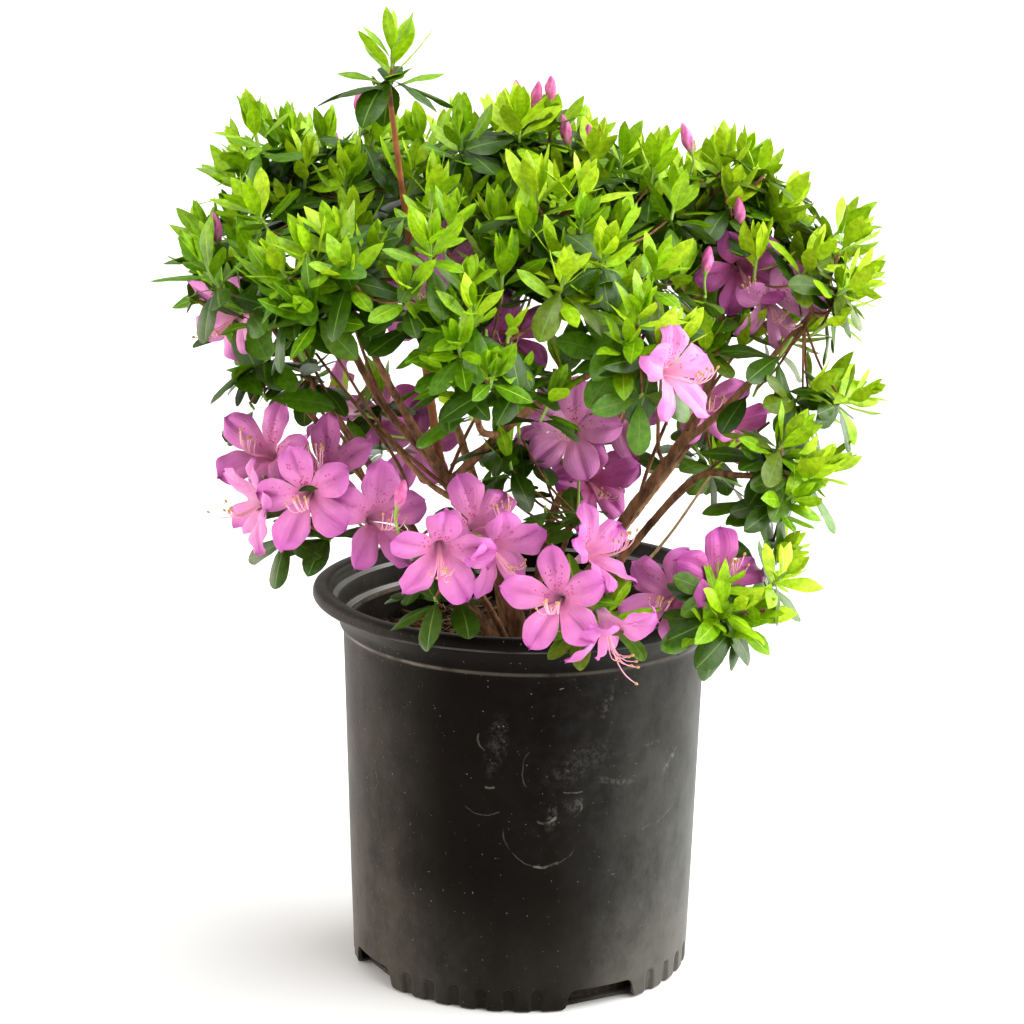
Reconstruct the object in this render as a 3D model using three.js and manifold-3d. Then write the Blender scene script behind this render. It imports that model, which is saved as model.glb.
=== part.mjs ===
// Azalea shrub in flower, standing in its nursery pot.
// Millimetres, +Z up. The origin is the centre of the pot's flat underside, and the front faces -Y.

import * as THREE from "three";
import { mergeVertices } from "three/addons/utils/BufferGeometryUtils.js";
import Module from "manifold-3d";

const wasm = await Module();
wasm.setup();

// Pot
const RIM_RADIUS = 115;
const POT_HEIGHT = 211;
const LIP_HEIGHT = 7;
const LIP_WIDTH = 9;
const COLLAR_RADIUS = 108;
const LEDGE_RADIUS = 100.5;
const SHOULDER_RADIUS = 98.5;
const SHOULDER_HEIGHT = 187;
const FOOT_RADIUS = 92;
const WALL = 1.8;
const EDGE = 3;
const POT_SIDES = 36;
const NOTCH_COUNT = 4;
const NOTCH_TURN = 28.5;
const NOTCH_WIDTH = 42;
const NOTCH_HEIGHT = 12;
const NOTCH_CORNER = 4;
const NOTCH_DRAFT = 2;
const NOTCH_BITE = 10;

// Soil, the clearance between pieces that touch, and how much twigs keep clear of a limb
const SOIL_TOP = 175;
const GAP = 0.35;
const SWELL = 0.42;

// Limbs: the flare of a stem's foot, as a share of its radius, and the height that it fades over
const FLARE_SHARE = 0.7;
const FLARE_HEIGHT = 8;

// Twigs and leaves
const CROWN_HEART = new THREE.Vector3(0, 0, 290);
const UP = new THREE.Vector3(0, 0, 1);
const ENTRY_SHARE = 0.5;
const HUB_REACH = 9;
const LEAF_ROOM = 20;
const LEAF_EXCESS = 1.2;
const FACING_LIFT = 0.35;
const CAP_SPREAD = 105;
const TURN_JITTER = 0.6;
const TIP_DEPTH = 0.14;
const TWIG_SAG = [0.06, 0.16];
const JOINTS_TRIED = 3;
const JOINT_SHARES = [0.7, 0.2];
const STEM_RADIUS = 1.7;
const TWIG_RADIUS = 1.25;
const TWIG_TIP_RADIUS = 0.9;
const ROSETTE_LEAVES = 6;
const ROSETTE_HUB = 2.4;
const ROSETTE_THICKNESS = 1.5;
const ROSETTE_FACING = 0.5;
const ROSETTE_LIFT = 0.9;
const TILT_JITTER = 8;
const AZIMUTH_JITTER = 0.05;
const LEAF_SIZES = [1, 0.8];
const YOUNG_LEAF = { length: 37, width: 12, tilt: 43, droop: -1 };
const OLD_LEAF = { length: 40, width: 17, tilt: 80, droop: 6 };
const LEAF_WIDEST = 0.48;
const LEAF_ARCH = 0.8;
const GOLDEN_ANGLE = Math.PI * (3 - Math.sqrt(5));

// Flowers
const BLOOM_RADIUS = 30;
const BLOOM_DEPTH = 22;
const BLOOM_LOBES = 5;
const BLOOM_TUBE = { radius: 3.5, length: 9 };
const BLOOM_HOLLOW = 12;
const BLOOM_NOTCH = { share: 0.55, drop: 4 };
const PETAL_THICKNESS = 2;
const STALK_SUNK = 4;
const BLOOM_PULLS = [0, 0.12, 0.24, 0.36, 0.48];
const BLOOM_SIZES = [1, 0.85, 0.7];

// Stems that stand on the soil, and boughs that leave one of them at a share of its length. Each
// runs through its via points to its tip, or into the mass that it feeds. Radii are at foot and tip.
const LIMBS = [
  { name: "trunk", foot: [1, 2], via: [[-20, -3, 231]], tip: [-48, -10, 280], radii: [4.8, 3.3] },
  { name: "bough_leader", from: "trunk", at: 0.96, via: [[-53, -16, 330]], radii: [2.8, 1.7] },
  { name: "bough_left_top", from: "trunk", at: 0.95, via: [[-82, 10, 314]], radii: [2.4, 1.6] },
  { name: "bough_front_left", from: "trunk", at: 0.92, via: [[-68, -45, 322]], radii: [2.2, 1.5] },
  { name: "bough_right_front", from: "trunk", at: 0.88, via: [[-2, -46, 314]], radii: [2.6, 1.6] },
  { name: "bough_front_low", from: "bough_right_front", at: 0.3, via: [[-24, -66, 310]], radii: [1.9, 1.4] },
  { name: "bough_front_middle", from: "bough_leader", at: 0.22, via: [[-30, -28, 338]], radii: [2.1, 1.5] },
  { name: "bough_top_middle", from: "bough_leader", at: 0.4, via: [[-38, 6, 368]], radii: [2.1, 1.5] },
  { name: "stem_left", foot: [-13, 7], via: [[-50, 10, 222], [-86, 11, 275]], radii: [2.7, 1.6] },
  { name: "stem_left_low", foot: [-11, -5], via: [[-52, -10, 225], [-90, -16, 276]], radii: [2.3, 1.5] },
  { name: "bough_flower_left", from: "stem_left_low", at: 0.5, via: [[-88, -38, 258]], radii: [1.7, 1.3] },
  { name: "stem_right", foot: [12, 5], via: [[48, -5, 240], [94, -9, 316]], radii: [3.9, 2.0] },
  { name: "bough_right_outer", from: "stem_right", at: 0.55, via: [[104, -16, 312]], radii: [2.1, 1.5] },
  { name: "bough_back_low_right", from: "stem_right", at: 0.25, via: [[58, 28, 240]], radii: [2.0, 1.4] },
  { name: "stem_right_low", foot: [15, -8], via: [[65, -14, 246], [92, -27, 278]], radii: [2.7, 1.6] },
  { name: "stem_dry", foot: [10, -18], via: [[68, -27, 235]], tip: [97, -35, 280], radii: [1.0, 0.7] },
  { name: "stem_middle", foot: [4, 14], via: [[14, 10, 245], [42, 24, 298]], radii: [2.6, 1.6] },
  { name: "bough_back_middle", from: "stem_middle", at: 0.4, via: [[30, 40, 266]], radii: [1.8, 1.3] },
  { name: "bough_inner", from: "stem_middle", at: 0.24, via: [[18, -2, 228]], radii: [1.6, 1.3] },
  { name: "stem_back", foot: [-8, 17], via: [[-28, 50, 255]], radii: [3.0, 1.7] },
  { name: "bough_back_crown", from: "stem_back", at: 0.55, via: [[-30, 88, 330]], radii: [2.1, 1.5] },
  { name: "bough_back_low_left", from: "stem_back", at: 0.3, via: [[-52, 62, 250]], radii: [1.9, 1.4] },
  { name: "stem_low_left", foot: [-6, -15], via: [[-20, -46, 212]], radii: [2.0, 1.4] },
  { name: "stem_low_front", foot: [4, -20], via: [[10, -56, 205]], radii: [2.0, 1.4] },
  { name: "stem_low_right", foot: [18, -20], via: [[46, -52, 208]], radii: [2.0, 1.4] },
];

// Masses of foliage: the name of each, the limb that feeds it, its centre, its reach along X, Y and Z
// from there, and how many tips it carries.
const MASSES = [
  ["leaves_leader", "bough_leader", [-74, -40, 490], [40, 36, 37], 3],
  ["leaves_left_top", "bough_left_top", [-132, 28, 428], [56, 50, 48], 6],
  ["leaves_left_outer", "stem_left", [-158, -12, 386], [40, 46, 46], 4],
  ["leaves_left_low", "stem_left_low", [-136, -34, 338], [38, 36, 30], 3],
  ["leaves_front_left", "bough_front_left", [-98, -104, 398], [50, 44, 38], 5],
  ["leaves_top_middle", "bough_top_middle", [-14, 48, 438], [56, 50, 44], 6],
  ["leaves_front_middle", "bough_front_middle", [16, -66, 412], [58, 50, 44], 6],
  ["leaves_front_low", "bough_front_low", [-26, -136, 366], [46, 38, 42], 4],
  ["leaves_right_front", "bough_right_front", [56, -122, 366], [40, 40, 44], 4],
  ["leaves_top_right", "stem_right", [109, 20, 416], [52, 50, 52], 6],
  ["leaves_right_outer", "bough_right_outer", [158, -22, 376], [42, 50, 56], 5],
  ["leaves_right_low", "stem_right_low", [128, -58, 286], [38, 40, 46], 4],
  ["leaves_flower_left", "bough_flower_left", [-124, -78, 280], [42, 42, 40], 3],
  ["leaves_flower_middle", "stem_low_left", [-44, -108, 262], [46, 42, 42], 3],
  ["leaves_flower_front", "stem_low_front", [28, -124, 238], [44, 38, 42], 3],
  ["leaves_flower_right", "stem_low_right", [98, -110, 230], [42, 40, 38], 4],
  ["leaves_inner", "bough_inner", [26, -34, 256], [30, 28, 30], 2],
  ["leaves_back_left", "stem_back", [-90, 112, 402], [56, 50, 50], 6],
  ["leaves_back_crown", "bough_back_crown", [-4, 126, 400], [48, 46, 48], 5],
  ["leaves_back_right", "stem_middle", [82, 112, 398], [56, 50, 50], 6],
  ["leaves_back_middle", "bough_back_middle", [42, 88, 288], [44, 38, 38], 2],
  ["leaves_back_low_left", "bough_back_low_left", [-92, 96, 284], [42, 38, 38], 3],
  ["leaves_back_low_right", "bough_back_low_right", [102, 76, 286], [42, 38, 38], 3],
].map(([name, limb, centre, reach, tips]) => ({ name, limb, centre, reach, tips }));

// Open flowers: their mass, the middle of the open face, and the azimuth (0 is the front, + to the
// right) and elevation that it looks to, in degrees.
const BLOOMS = [
  ["leaves_flower_left", [-142, -60, 292], -55, 35],
  ["leaves_flower_left", [-102, -58, 302], -10, 50],
  ["leaves_flower_left", [-112, -114, 284], -8, 5],
  ["leaves_flower_left", [-150, -92, 262], -60, -25],
  ["leaves_flower_middle", [-70, -104, 280], 30, 20],
  ["leaves_flower_middle", [-42, -140, 260], 5, -15],
  ["leaves_flower_middle", [-18, -110, 286], 40, 35],
  ["leaves_flower_front", [14, -150, 242], -12, 10],
  ["leaves_flower_front", [40, -118, 262], 60, 30],
  ["leaves_flower_front", [46, -148, 218], 35, -45],
  ["leaves_flower_right", [70, -112, 250], -10, 40],
  ["leaves_flower_right", [102, -104, 246], 30, 40],
  ["leaves_right_front", [76, -142, 356], 45, 10],
  ["leaves_left_outer", [-160, -34, 362], -60, -20],
  ["leaves_top_right", [113, -8, 384], 20, -30],
  ["leaves_back_middle", [12, 66, 284], -15, 15],
  ["leaves_back_middle", [50, 62, 292], 10, 10],
  ["leaves_back_middle", [38, 64, 256], 0, -30],
  ["leaves_back_middle", [46, 118, 290], 170, 20],
  ["leaves_back_low_right", [100, 56, 300], 20, 20],
  ["leaves_back_low_right", [120, 96, 280], 130, 0],
  ["leaves_back_low_left", [-112, 88, 292], -110, 15],
  ["leaves_back_low_left", [-84, 122, 280], -160, 0],
  ["leaves_back_low_left", [-62, 108, 262], 175, -20],
  ["leaves_back_crown", [-6, 158, 372], 180, 10],
  ["leaves_back_left", [-118, 140, 376], -140, 0],
  ["leaves_back_right", [116, 136, 372], 140, 5],
];

const vector = (point) => new THREE.Vector3(...point);
const radians = THREE.MathUtils.degToRad;
const nearestTo = (place, points) =>
  points.reduce((a, b) => (b.distanceTo(place) < a.distanceTo(place) ? b : a));

// A repeatable stream of numbers from 0 to 1.
function seededRandom(seed) {
  let state = Math.imul(seed, 2654435761) >>> 0;
  return () => {
    state = (Math.imul(state, 1664525) + 1013904223) >>> 0;
    return state / 4294967296;
  };
}

// A closed geometry as a solid that can be joined and cut.
function solidOf(geometry) {
  geometry.deleteAttribute("normal");
  geometry.deleteAttribute("uv");
  const merged = mergeVertices(geometry, 1e-4);
  const vertProperties = merged.attributes.position.array;
  const triVerts = new Uint32Array(merged.index.array);
  return new wasm.Manifold(new wasm.Mesh({ numProp: 3, vertProperties, triVerts }));
}

function geometryOf(solid) {
  const { vertProperties, triVerts } = solid.getMesh();
  const geometry = new THREE.BufferGeometry();
  geometry.setAttribute("position", new THREE.BufferAttribute(vertProperties, 3));
  geometry.setIndex(new THREE.BufferAttribute(triVerts, 1));
  geometry.computeVertexNormals();
  return geometry;
}

// The largest body of a solid: loose scraps are dropped and sealed hollows are filled.
function mainBody(solid) {
  const bodies = solid.decompose();
  return bodies.reduce((best, body) => (body.volume() > best.volume() ? body : best));
}

const join = (solids) => solids.reduce((whole, solid) => whole.add(solid));

// Inside radius of the pot's wall at a height.
function wallRadius(height) {
  return THREE.MathUtils.lerp(FOOT_RADIUS, SHOULDER_RADIUS, height / SHOULDER_HEIGHT) - WALL;
}

function lathe(profile) {
  const geometry = new THREE.LatheGeometry(profile.map(([r, z]) => new THREE.Vector2(r, z)), POT_SIDES);
  return geometry.rotateX(Math.PI / 2);
}

// A drain notch from the front: it starts below the foot and narrows to rounded upper corners.
function notchOutline() {
  const foot = NOTCH_WIDTH / 2;
  const side = foot - NOTCH_DRAFT;
  const top = side - NOTCH_CORNER;
  const outline = new THREE.Shape();
  outline.moveTo(-foot, -WALL);
  outline.lineTo(foot, -WALL);
  outline.lineTo(side, NOTCH_HEIGHT - NOTCH_CORNER);
  outline.lineTo(top, NOTCH_HEIGHT);
  outline.lineTo(-top, NOTCH_HEIGHT);
  outline.lineTo(-side, NOTCH_HEIGHT - NOTCH_CORNER);
  return outline;
}

// The pot: tapered wall, stepped shoulder, flared collar and rolled lip, with drain notches at the foot.
function potSolid() {
  const lipUnder = POT_HEIGHT - LIP_HEIGHT;
  const lipInside = RIM_RADIUS - LIP_WIDTH;
  const profile = [
    [0, 0],
    [FOOT_RADIUS - EDGE, 0],
    [FOOT_RADIUS, EDGE],
    [SHOULDER_RADIUS, SHOULDER_HEIGHT],
    [LEDGE_RADIUS, SHOULDER_HEIGHT + EDGE],
    [LEDGE_RADIUS, SHOULDER_HEIGHT + 2 * EDGE],
    [COLLAR_RADIUS, lipUnder],
    [RIM_RADIUS, lipUnder],
    [RIM_RADIUS, POT_HEIGHT - EDGE],
    [RIM_RADIUS - EDGE, POT_HEIGHT],
    [lipInside, POT_HEIGHT],
    [lipInside - WALL, lipUnder],
    [LEDGE_RADIUS - WALL, SHOULDER_HEIGHT + EDGE],
    [wallRadius(SHOULDER_HEIGHT), SHOULDER_HEIGHT],
    [wallRadius(WALL), WALL],
    [0, WALL],
  ];
  let pot = solidOf(lathe(profile));
  for (let k = 0; k < NOTCH_COUNT; k++) {
    const depth = 2 * NOTCH_BITE;
    const notch = new THREE.ExtrudeGeometry(notchOutline(), { depth, bevelEnabled: false });
    notch.rotateX(Math.PI / 2);
    notch.translate(0, NOTCH_BITE - FOOT_RADIUS, 0);
    notch.rotateZ(radians(NOTCH_TURN + (360 / NOTCH_COUNT) * k));
    pot = pot.subtract(solidOf(notch));
  }
  return pot;
}

// The planted root ball fills the pot to its soil level and stays clear of the notches' openings.
function soilSolid() {
  const bottom = NOTCH_HEIGHT + GAP;
  const foot = WALL + GAP;
  const base = FOOT_RADIUS - NOTCH_BITE - EDGE;
  const top = wallRadius(SOIL_TOP) - GAP;
  const profile = [
    [0, foot],
    [base, foot],
    [base, bottom],
    [wallRadius(bottom) - GAP, bottom],
    [top, SOIL_TOP - EDGE],
    [top - EDGE, SOIL_TOP],
    [0, SOIL_TOP],
  ];
  return solidOf(lathe(profile));
}

// A tapering round tube along a curve, from radius r0 to r1, wider at its foot by the flare.
function tube(curve, [r0, r1], { sides = 6, steps = 6, flare = 0, grow = 0 } = {}) {
  const geometry = new THREE.CylinderGeometry(1, 1, 1, sides, steps);
  const { normals, binormals } = curve.computeFrenetFrames(steps);
  const at = geometry.attributes.position;
  const length = curve.getLength();
  for (let i = 0; i < at.count; i++) {
    const share = at.getY(i) + 0.5;
    const step = Math.round(share * steps);
    const flared = flare * Math.exp((-share * length) / FLARE_HEIGHT);
    const radius = THREE.MathUtils.lerp(r0, r1, share) + flared + grow;
    const point = curve.getPointAt(share);
    point.addScaledVector(normals[step], at.getX(i) * radius);
    point.addScaledVector(binormals[step], -at.getZ(i) * radius);
    if (share === 0 && flare > 0) point.z = SOIL_TOP + GAP - grow;
    at.setXYZ(i, point.x, point.y, point.z);
  }
  return geometry;
}

// How far a mass reaches from its centre in one direction.
function reachAlong(mass, direction) {
  const [x, y, z] = mass.reach;
  return 1 / Math.hypot(direction.x / x, direction.y / y, direction.z / z);
}

// Where a limb's tip enters its mass, on the way from its last via point to the mass's centre.
function entryPoint(limb) {
  const mass = MASSES.find((candidate) => candidate.limb === limb.name);
  const centre = vector(mass.centre);
  const inward = centre.clone().sub(vector(limb.via.at(-1))).normalize();
  return centre.addScaledVector(inward, -ENTRY_SHARE * reachAlong(mass, inward));
}

// Each limb's curve, its solid cut clear of the limbs made before it, and its swollen solid,
// which later pieces keep out of.
const limbs = new Map();
for (const row of LIMBS) {
  const parent = limbs.get(row.from);
  const start = parent ? parent.curve.getPointAt(row.at) : vector([...row.foot, SOIL_TOP + GAP]);
  const tip = row.tip ? vector(row.tip) : entryPoint(row);
  const curve = new THREE.CatmullRomCurve3([start, ...row.via.map(vector), tip], false, "centripetal");
  const steps = row.via.length > 1 ? 8 : 6;
  const flare = parent ? 0 : row.radii[0] * FLARE_SHARE;
  let solid = solidOf(tube(curve, row.radii, { steps, flare }));
  for (const other of limbs.values()) solid = solid.subtract(other.swollen);
  const swollen = solidOf(tube(curve, row.radii, { steps, flare, grow: SWELL }));
  limbs.set(row.name, { curve, radii: row.radii, solid: mainBody(solid), swollen });
}

// What leaves and twigs keep out of: the limbs, the soil and the pot with its lip.
const potOutside = lathe([
  [0, 0],
  [RIM_RADIUS + WALL, 0],
  [RIM_RADIUS + WALL, POT_HEIGHT + WALL],
  [wallRadius(SOIL_TOP) - WALL, POT_HEIGHT + WALL],
  [wallRadius(SOIL_TOP) - WALL, SOIL_TOP + WALL],
  [0, SOIL_TOP + WALL],
]);
const obstacles = [solidOf(potOutside), ...[...limbs.values()].map((limb) => limb.swollen)];

// The space of a mass: its ellipsoid, and a plane between it and each of the other masses.
function spaceOf(mass) {
  const centre = vector(mass.centre);
  const walls = MASSES.filter((other) => other !== mass).map((other) => {
    const across = vector(other.centre).sub(centre);
    const direction = across.clone().normalize();
    const own = reachAlong(mass, direction);
    const share = own / (own + reachAlong(other, direction));
    const limit = centre.dot(direction) + across.length() * share - GAP / 2;
    return new THREE.Plane(direction.negate(), limit);
  });
  const between = (point) => walls.every((wall) => wall.distanceToPoint(point) > 0);
  const within = (point) => point.clone().sub(centre).divide(vector(mass.reach)).length() <= LEAF_EXCESS;
  return { between, within };
}

// Two directions square to a third.
function squareTo(direction) {
  const side = new THREE.Vector3(0.31, 0.17, 0.93).cross(direction).normalize();
  return [side, direction.clone().cross(side)];
}

// The twigs of one mass: its stem, then one twig to each tip. Tips are spread by the golden angle over
// the side of the mass that looks out of the crown, and each twig leaves the nearest free joint: the
// end of the stem, or a place along an earlier twig.
function growTwigs(mass, seed, hasRoom) {
  const random = seededRandom(seed);
  const limb = limbs.get(mass.limb);
  const centre = vector(mass.centre);
  const forward = limb.curve.getTangentAt(1);
  const start = limb.curve.getPointAt(1).addScaledVector(forward, GAP);
  const hub = start.clone().addScaledVector(forward, HUB_REACH);
  const outward = centre.clone().sub(CROWN_HEART).normalize();
  const facing = outward.addScaledVector(UP, FACING_LIFT).normalize();
  const [side, other] = squareTo(facing);
  const targets = [];
  for (let k = 0; k < mass.tips; k++) {
    const cosine = 1 - (1 - Math.cos(radians(CAP_SPREAD))) * ((k + 0.5) / mass.tips);
    const sine = Math.sqrt(1 - cosine * cosine);
    const turn = GOLDEN_ANGLE * k + random() * TURN_JITTER + seed;
    const direction = facing.clone().multiplyScalar(cosine);
    direction.addScaledVector(side, sine * Math.cos(turn));
    direction.addScaledVector(other, sine * Math.sin(turn));
    const reach = (reachAlong(mass, direction) - LEAF_ROOM) * (1 - TIP_DEPTH * random());
    targets.push(centre.clone().addScaledVector(direction, reach));
  }
  targets.sort((a, b) => a.distanceTo(hub) - b.distanceTo(hub));
  const joints = [hub];
  const twigs = [{ points: [start, hub], radii: [limb.radii[1], STEM_RADIUS] }];
  for (const target of targets) {
    joints.sort((a, b) => a.distanceTo(target) - b.distanceTo(target));
    for (const origin of joints.slice(0, JOINTS_TRIED)) {
      const sag = origin.distanceTo(target) * THREE.MathUtils.lerp(...TWIG_SAG, random());
      const middle = origin.clone().lerp(target, 0.5).addScaledVector(UP, -sag);
      const twig = { points: [origin, middle, target], radii: [TWIG_RADIUS, TWIG_TIP_RADIUS] };
      if (!hasRoom(twig)) continue;
      twigs.push(twig);
      if (origin !== hub) joints.splice(joints.indexOf(origin), 1);
      joints.push(origin.clone().lerp(middle, JOINT_SHARES[0]));
      joints.push(middle.clone().lerp(target, JOINT_SHARES[1]));
      break;
    }
  }
  return { twigs, facing, random };
}

// A three-sided twig through its points. Its foot lies on the axis of the twig that it grows from.
function twigGeometry({ points, radii }) {
  const curve = new THREE.CatmullRomCurve3(points);
  return tube(curve, radii, { sides: 3, steps: points.length - 1 });
}

// The corners of one leaf, from its root along its own direction: its two sides round its tip.
function leafCorners(root, direction, axis, { length, width, droop }, size) {
  const across = axis.clone().cross(direction).normalize();
  const upper = direction.clone().cross(across);
  const widest = root.clone().addScaledVector(direction, length * size * LEAF_WIDEST);
  widest.addScaledVector(upper, -LEAF_ARCH - droop * LEAF_WIDEST);
  const right = widest.clone().addScaledVector(across, (-width * size) / 2);
  const left = widest.addScaledVector(across, (width * size) / 2);
  const tip = root.clone().addScaledVector(direction, length * size).addScaledVector(upper, -droop);
  return [right, tip, left];
}

// A leaf alone, as a slim solid over its corners, to test where it reaches.
function leafSolid(root, corners) {
  const [right, tip, left] = corners;
  const middle = right.clone().add(left).multiplyScalar(0.5);
  const normal = tip.clone().sub(root).cross(left.clone().sub(right)).normalize();
  const above = middle.clone().addScaledVector(normal, ROSETTE_THICKNESS);
  const below = middle.clone().addScaledVector(normal, -ROSETTE_THICKNESS);
  const rim = [root, ...corners];
  return solidOf(closedShape([...fan(above, rim), ...fan(below, rim).reverse()]));
}

// The triangles from one point to each edge of a closed rim.
const fan = (apex, rim) => rim.flatMap((corner, i) => [apex, corner, rim[(i + 1) % rim.length]]);

const closedShape = (triangles) => new THREE.BufferGeometry().setFromPoints(triangles);

// The rosette at a twig's tip is one star of leaves with eight faces each. Young leaves stand up in
// it, and older ones spread between them. A leaf that has no room is tried smaller, then left out.
function rosette({ points }, facing, random, hasRoom) {
  const [before, root] = points.slice(-2);
  const along = root.clone().sub(before).normalize();
  along.addScaledVector(facing, ROSETTE_FACING);
  const axis = along.addScaledVector(UP, ROSETTE_LIFT).normalize();
  const [side, other] = squareTo(axis);
  const phase = random() * 2 * Math.PI;
  const outwardAt = (k) => {
    const turn = phase + (2 * Math.PI * k) / ROSETTE_LEAVES;
    return side.clone().multiplyScalar(Math.cos(turn)).addScaledVector(other, Math.sin(turn));
  };
  const hub = [];
  const rim = [];
  const undersides = [];
  const leaves = [];
  for (let k = 0; k < ROSETTE_LEAVES; k++) {
    const kind = k % 2 === 0 ? YOUNG_LEAF : OLD_LEAF;
    const tilt = radians(kind.tilt + TILT_JITTER * (random() - 0.5));
    const outward = outwardAt(k + AZIMUTH_JITTER * (random() - 0.5));
    const hubStart = root.clone().addScaledVector(outwardAt(k - 0.5), ROSETTE_HUB);
    const hubEnd = root.clone().addScaledVector(outwardAt(k + 0.5), ROSETTE_HUB);
    hub.push(hubEnd);
    const direction = axis.clone().multiplyScalar(Math.cos(tilt));
    direction.addScaledVector(outward, Math.sin(tilt));
    for (const size of LEAF_SIZES) {
      const corners = leafCorners(root, direction, axis, kind, size);
      const solid = leafSolid(root, corners);
      if (!hasRoom(corners, solid)) continue;
      const [right, leafTip, left] = corners;
      undersides.push(hubStart, hubEnd, right, hubEnd, left, right, right, left, leafTip);
      rim.push(...corners);
      leaves.push(solid);
      break;
    }
    rim.push(hubEnd);
  }
  const above = root.clone().addScaledVector(axis, ROSETTE_THICKNESS);
  const below = root.clone().addScaledVector(axis, -ROSETTE_THICKNESS);
  const triangles = [...fan(above, rim), ...fan(below, hub).reverse(), ...undersides];
  return { solid: solidOf(closedShape(triangles)), leaves };
}

// An open five-lobed funnel flower, looking along its facing from the middle of its open face.
function bloom(face, facing, size) {
  const profile = [
    [0, -BLOOM_DEPTH],
    [BLOOM_TUBE.radius, BLOOM_TUBE.length - BLOOM_DEPTH],
    [BLOOM_RADIUS, 0],
    [BLOOM_RADIUS - PETAL_THICKNESS, PETAL_THICKNESS],
    [0, BLOOM_HOLLOW - BLOOM_DEPTH],
  ];
  const segments = BLOOM_LOBES * 2;
  const points = profile.map(([r, y]) => new THREE.Vector2(r, y));
  const geometry = new THREE.LatheGeometry(points, segments);
  geometry.scale(size, size, size);
  const at = geometry.attributes.position;
  for (let i = 0; i < at.count; i++) {
    const radius = Math.hypot(at.getX(i), at.getZ(i));
    const segment = Math.round((Math.atan2(at.getX(i), at.getZ(i)) / (2 * Math.PI)) * segments);
    const notched = radius > (BLOOM_RADIUS * size) / 2 && Math.abs(segment) % 2 === 1;
    if (!notched) continue;
    const { share, drop } = BLOOM_NOTCH;
    at.setXYZ(i, at.getX(i) * share, at.getY(i) - drop, at.getZ(i) * share);
  }
  const turned = new THREE.Quaternion().setFromUnitVectors(new THREE.Vector3(0, 1, 0), facing);
  geometry.applyQuaternion(turned);
  return geometry.translate(face.x, face.y, face.z);
}

function facingOf(azimuth, elevation) {
  const level = Math.cos(radians(elevation));
  const x = level * Math.sin(radians(azimuth));
  const y = -level * Math.cos(radians(azimuth));
  return new THREE.Vector3(x, y, Math.sin(radians(elevation)));
}

// Whether a solid runs into any of the others.
function touches(solid, others) {
  const { min, max } = solid.boundingBox();
  return others.some((other) => {
    const box = other.boundingBox();
    const apart = min.some((low, axis) => low > box.max[axis] || max[axis] < box.min[axis]);
    return !apart && solid.intersect(other).volume() > 0;
  });
}

function pointsOf(geometry) {
  const at = geometry.attributes.position;
  return Array.from({ length: at.count }, (_, i) => new THREE.Vector3().fromBufferAttribute(at, i));
}

// A flower on its stalk from the nearest twig. Where it has no room it is drawn in towards the middle
// of its mass, and then tried smaller.
function bloomSolid(mass, [, face, azimuth, elevation], twigs, hasRoom) {
  const looks = facingOf(azimuth, elevation);
  for (const size of BLOOM_SIZES) {
    for (const pull of BLOOM_PULLS) {
      const middle = vector(face).lerp(vector(mass.centre), pull);
      const flower = bloom(middle, looks, size);
      const base = middle.clone().addScaledVector(looks, (STALK_SUNK - BLOOM_DEPTH) * size);
      const origin = nearestTo(base, twigs.map((twig) => twig.points[1]));
      const stalk = twigGeometry({ points: [origin, base], radii: [TWIG_RADIUS, TWIG_TIP_RADIUS] });
      const corners = [...pointsOf(flower), ...pointsOf(stalk)];
      const solid = solidOf(flower).add(solidOf(stalk));
      if (hasRoom(corners, solid)) return solid;
    }
  }
  return null;
}

// One mass: its stem and twigs, then the flowers, then the leaves that stay in its space.
function massSolid(mass, seed) {
  const { between, within } = spaceOf(mass);
  const wood = [];
  const { twigs, facing, random } = growTwigs(mass, seed, (twig) => {
    const geometry = twigGeometry(twig);
    const inside = pointsOf(geometry).every(between);
    const solid = solidOf(geometry);
    const clear = inside && !touches(solid, obstacles);
    if (clear) wood.push(solid);
    return clear;
  });
  const stem = solidOf(twigGeometry(twigs[0]));
  const flowers = [];
  for (const row of BLOOMS.filter(([name]) => name === mass.name)) {
    const inSpace = (corners, solid) => corners.every(between) && !touches(solid, obstacles);
    const hasRoom = (corners, solid) => inSpace(corners, solid) && !touches(solid, flowers);
    const flower = bloomSolid(mass, row, twigs, hasRoom) ?? bloomSolid(mass, row, twigs, inSpace);
    if (flower) flowers.push(flower);
  }
  const placed = [...obstacles, ...flowers];
  const stars = [];
  twigs.slice(1).forEach((twig, i) => {
    const others = wood.filter((_, n) => n !== i);
    const hasRoom = (corners, solid) => {
      const inside = corners.every((point) => between(point) && within(point));
      return inside && !touches(solid, [...placed, ...others]);
    };
    const { solid, leaves } = rosette(twig, facing, random, hasRoom);
    placed.push(...leaves);
    stars.push(solid);
  });
  return mainBody(join([stem, ...wood, ...flowers, ...stars]));
}

const shrub = new THREE.Group();

function addMesh(name, solid, colour, roughness) {
  const material = new THREE.MeshStandardMaterial({ color: colour, roughness, metalness: 0 });
  const mesh = new THREE.Mesh(geometryOf(solid), material);
  mesh.name = name;
  shrub.add(mesh);
}

addMesh("pot", potSolid(), 0x1c1d1e, 0.55);
addMesh("soil", soilSolid(), 0x3a2a1d, 0.95);
for (const [name, limb] of limbs) addMesh(name, limb.solid, 0x7a5a45, 0.85);
MASSES.forEach((mass, i) => addMesh(mass.name, massSolid(mass, i + 1), 0x6f9a2c, 0.5));

export default shrub;
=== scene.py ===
"""An azalea shrub in flower in its nursery pot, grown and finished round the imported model.

Tables and growth are in millimetres, and every mesh is made in metres. +Z is up, and -Y is the front.
"""

import math

import bmesh
import bpy
import numpy as np
from mathutils import Matrix, Vector, noise


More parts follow.
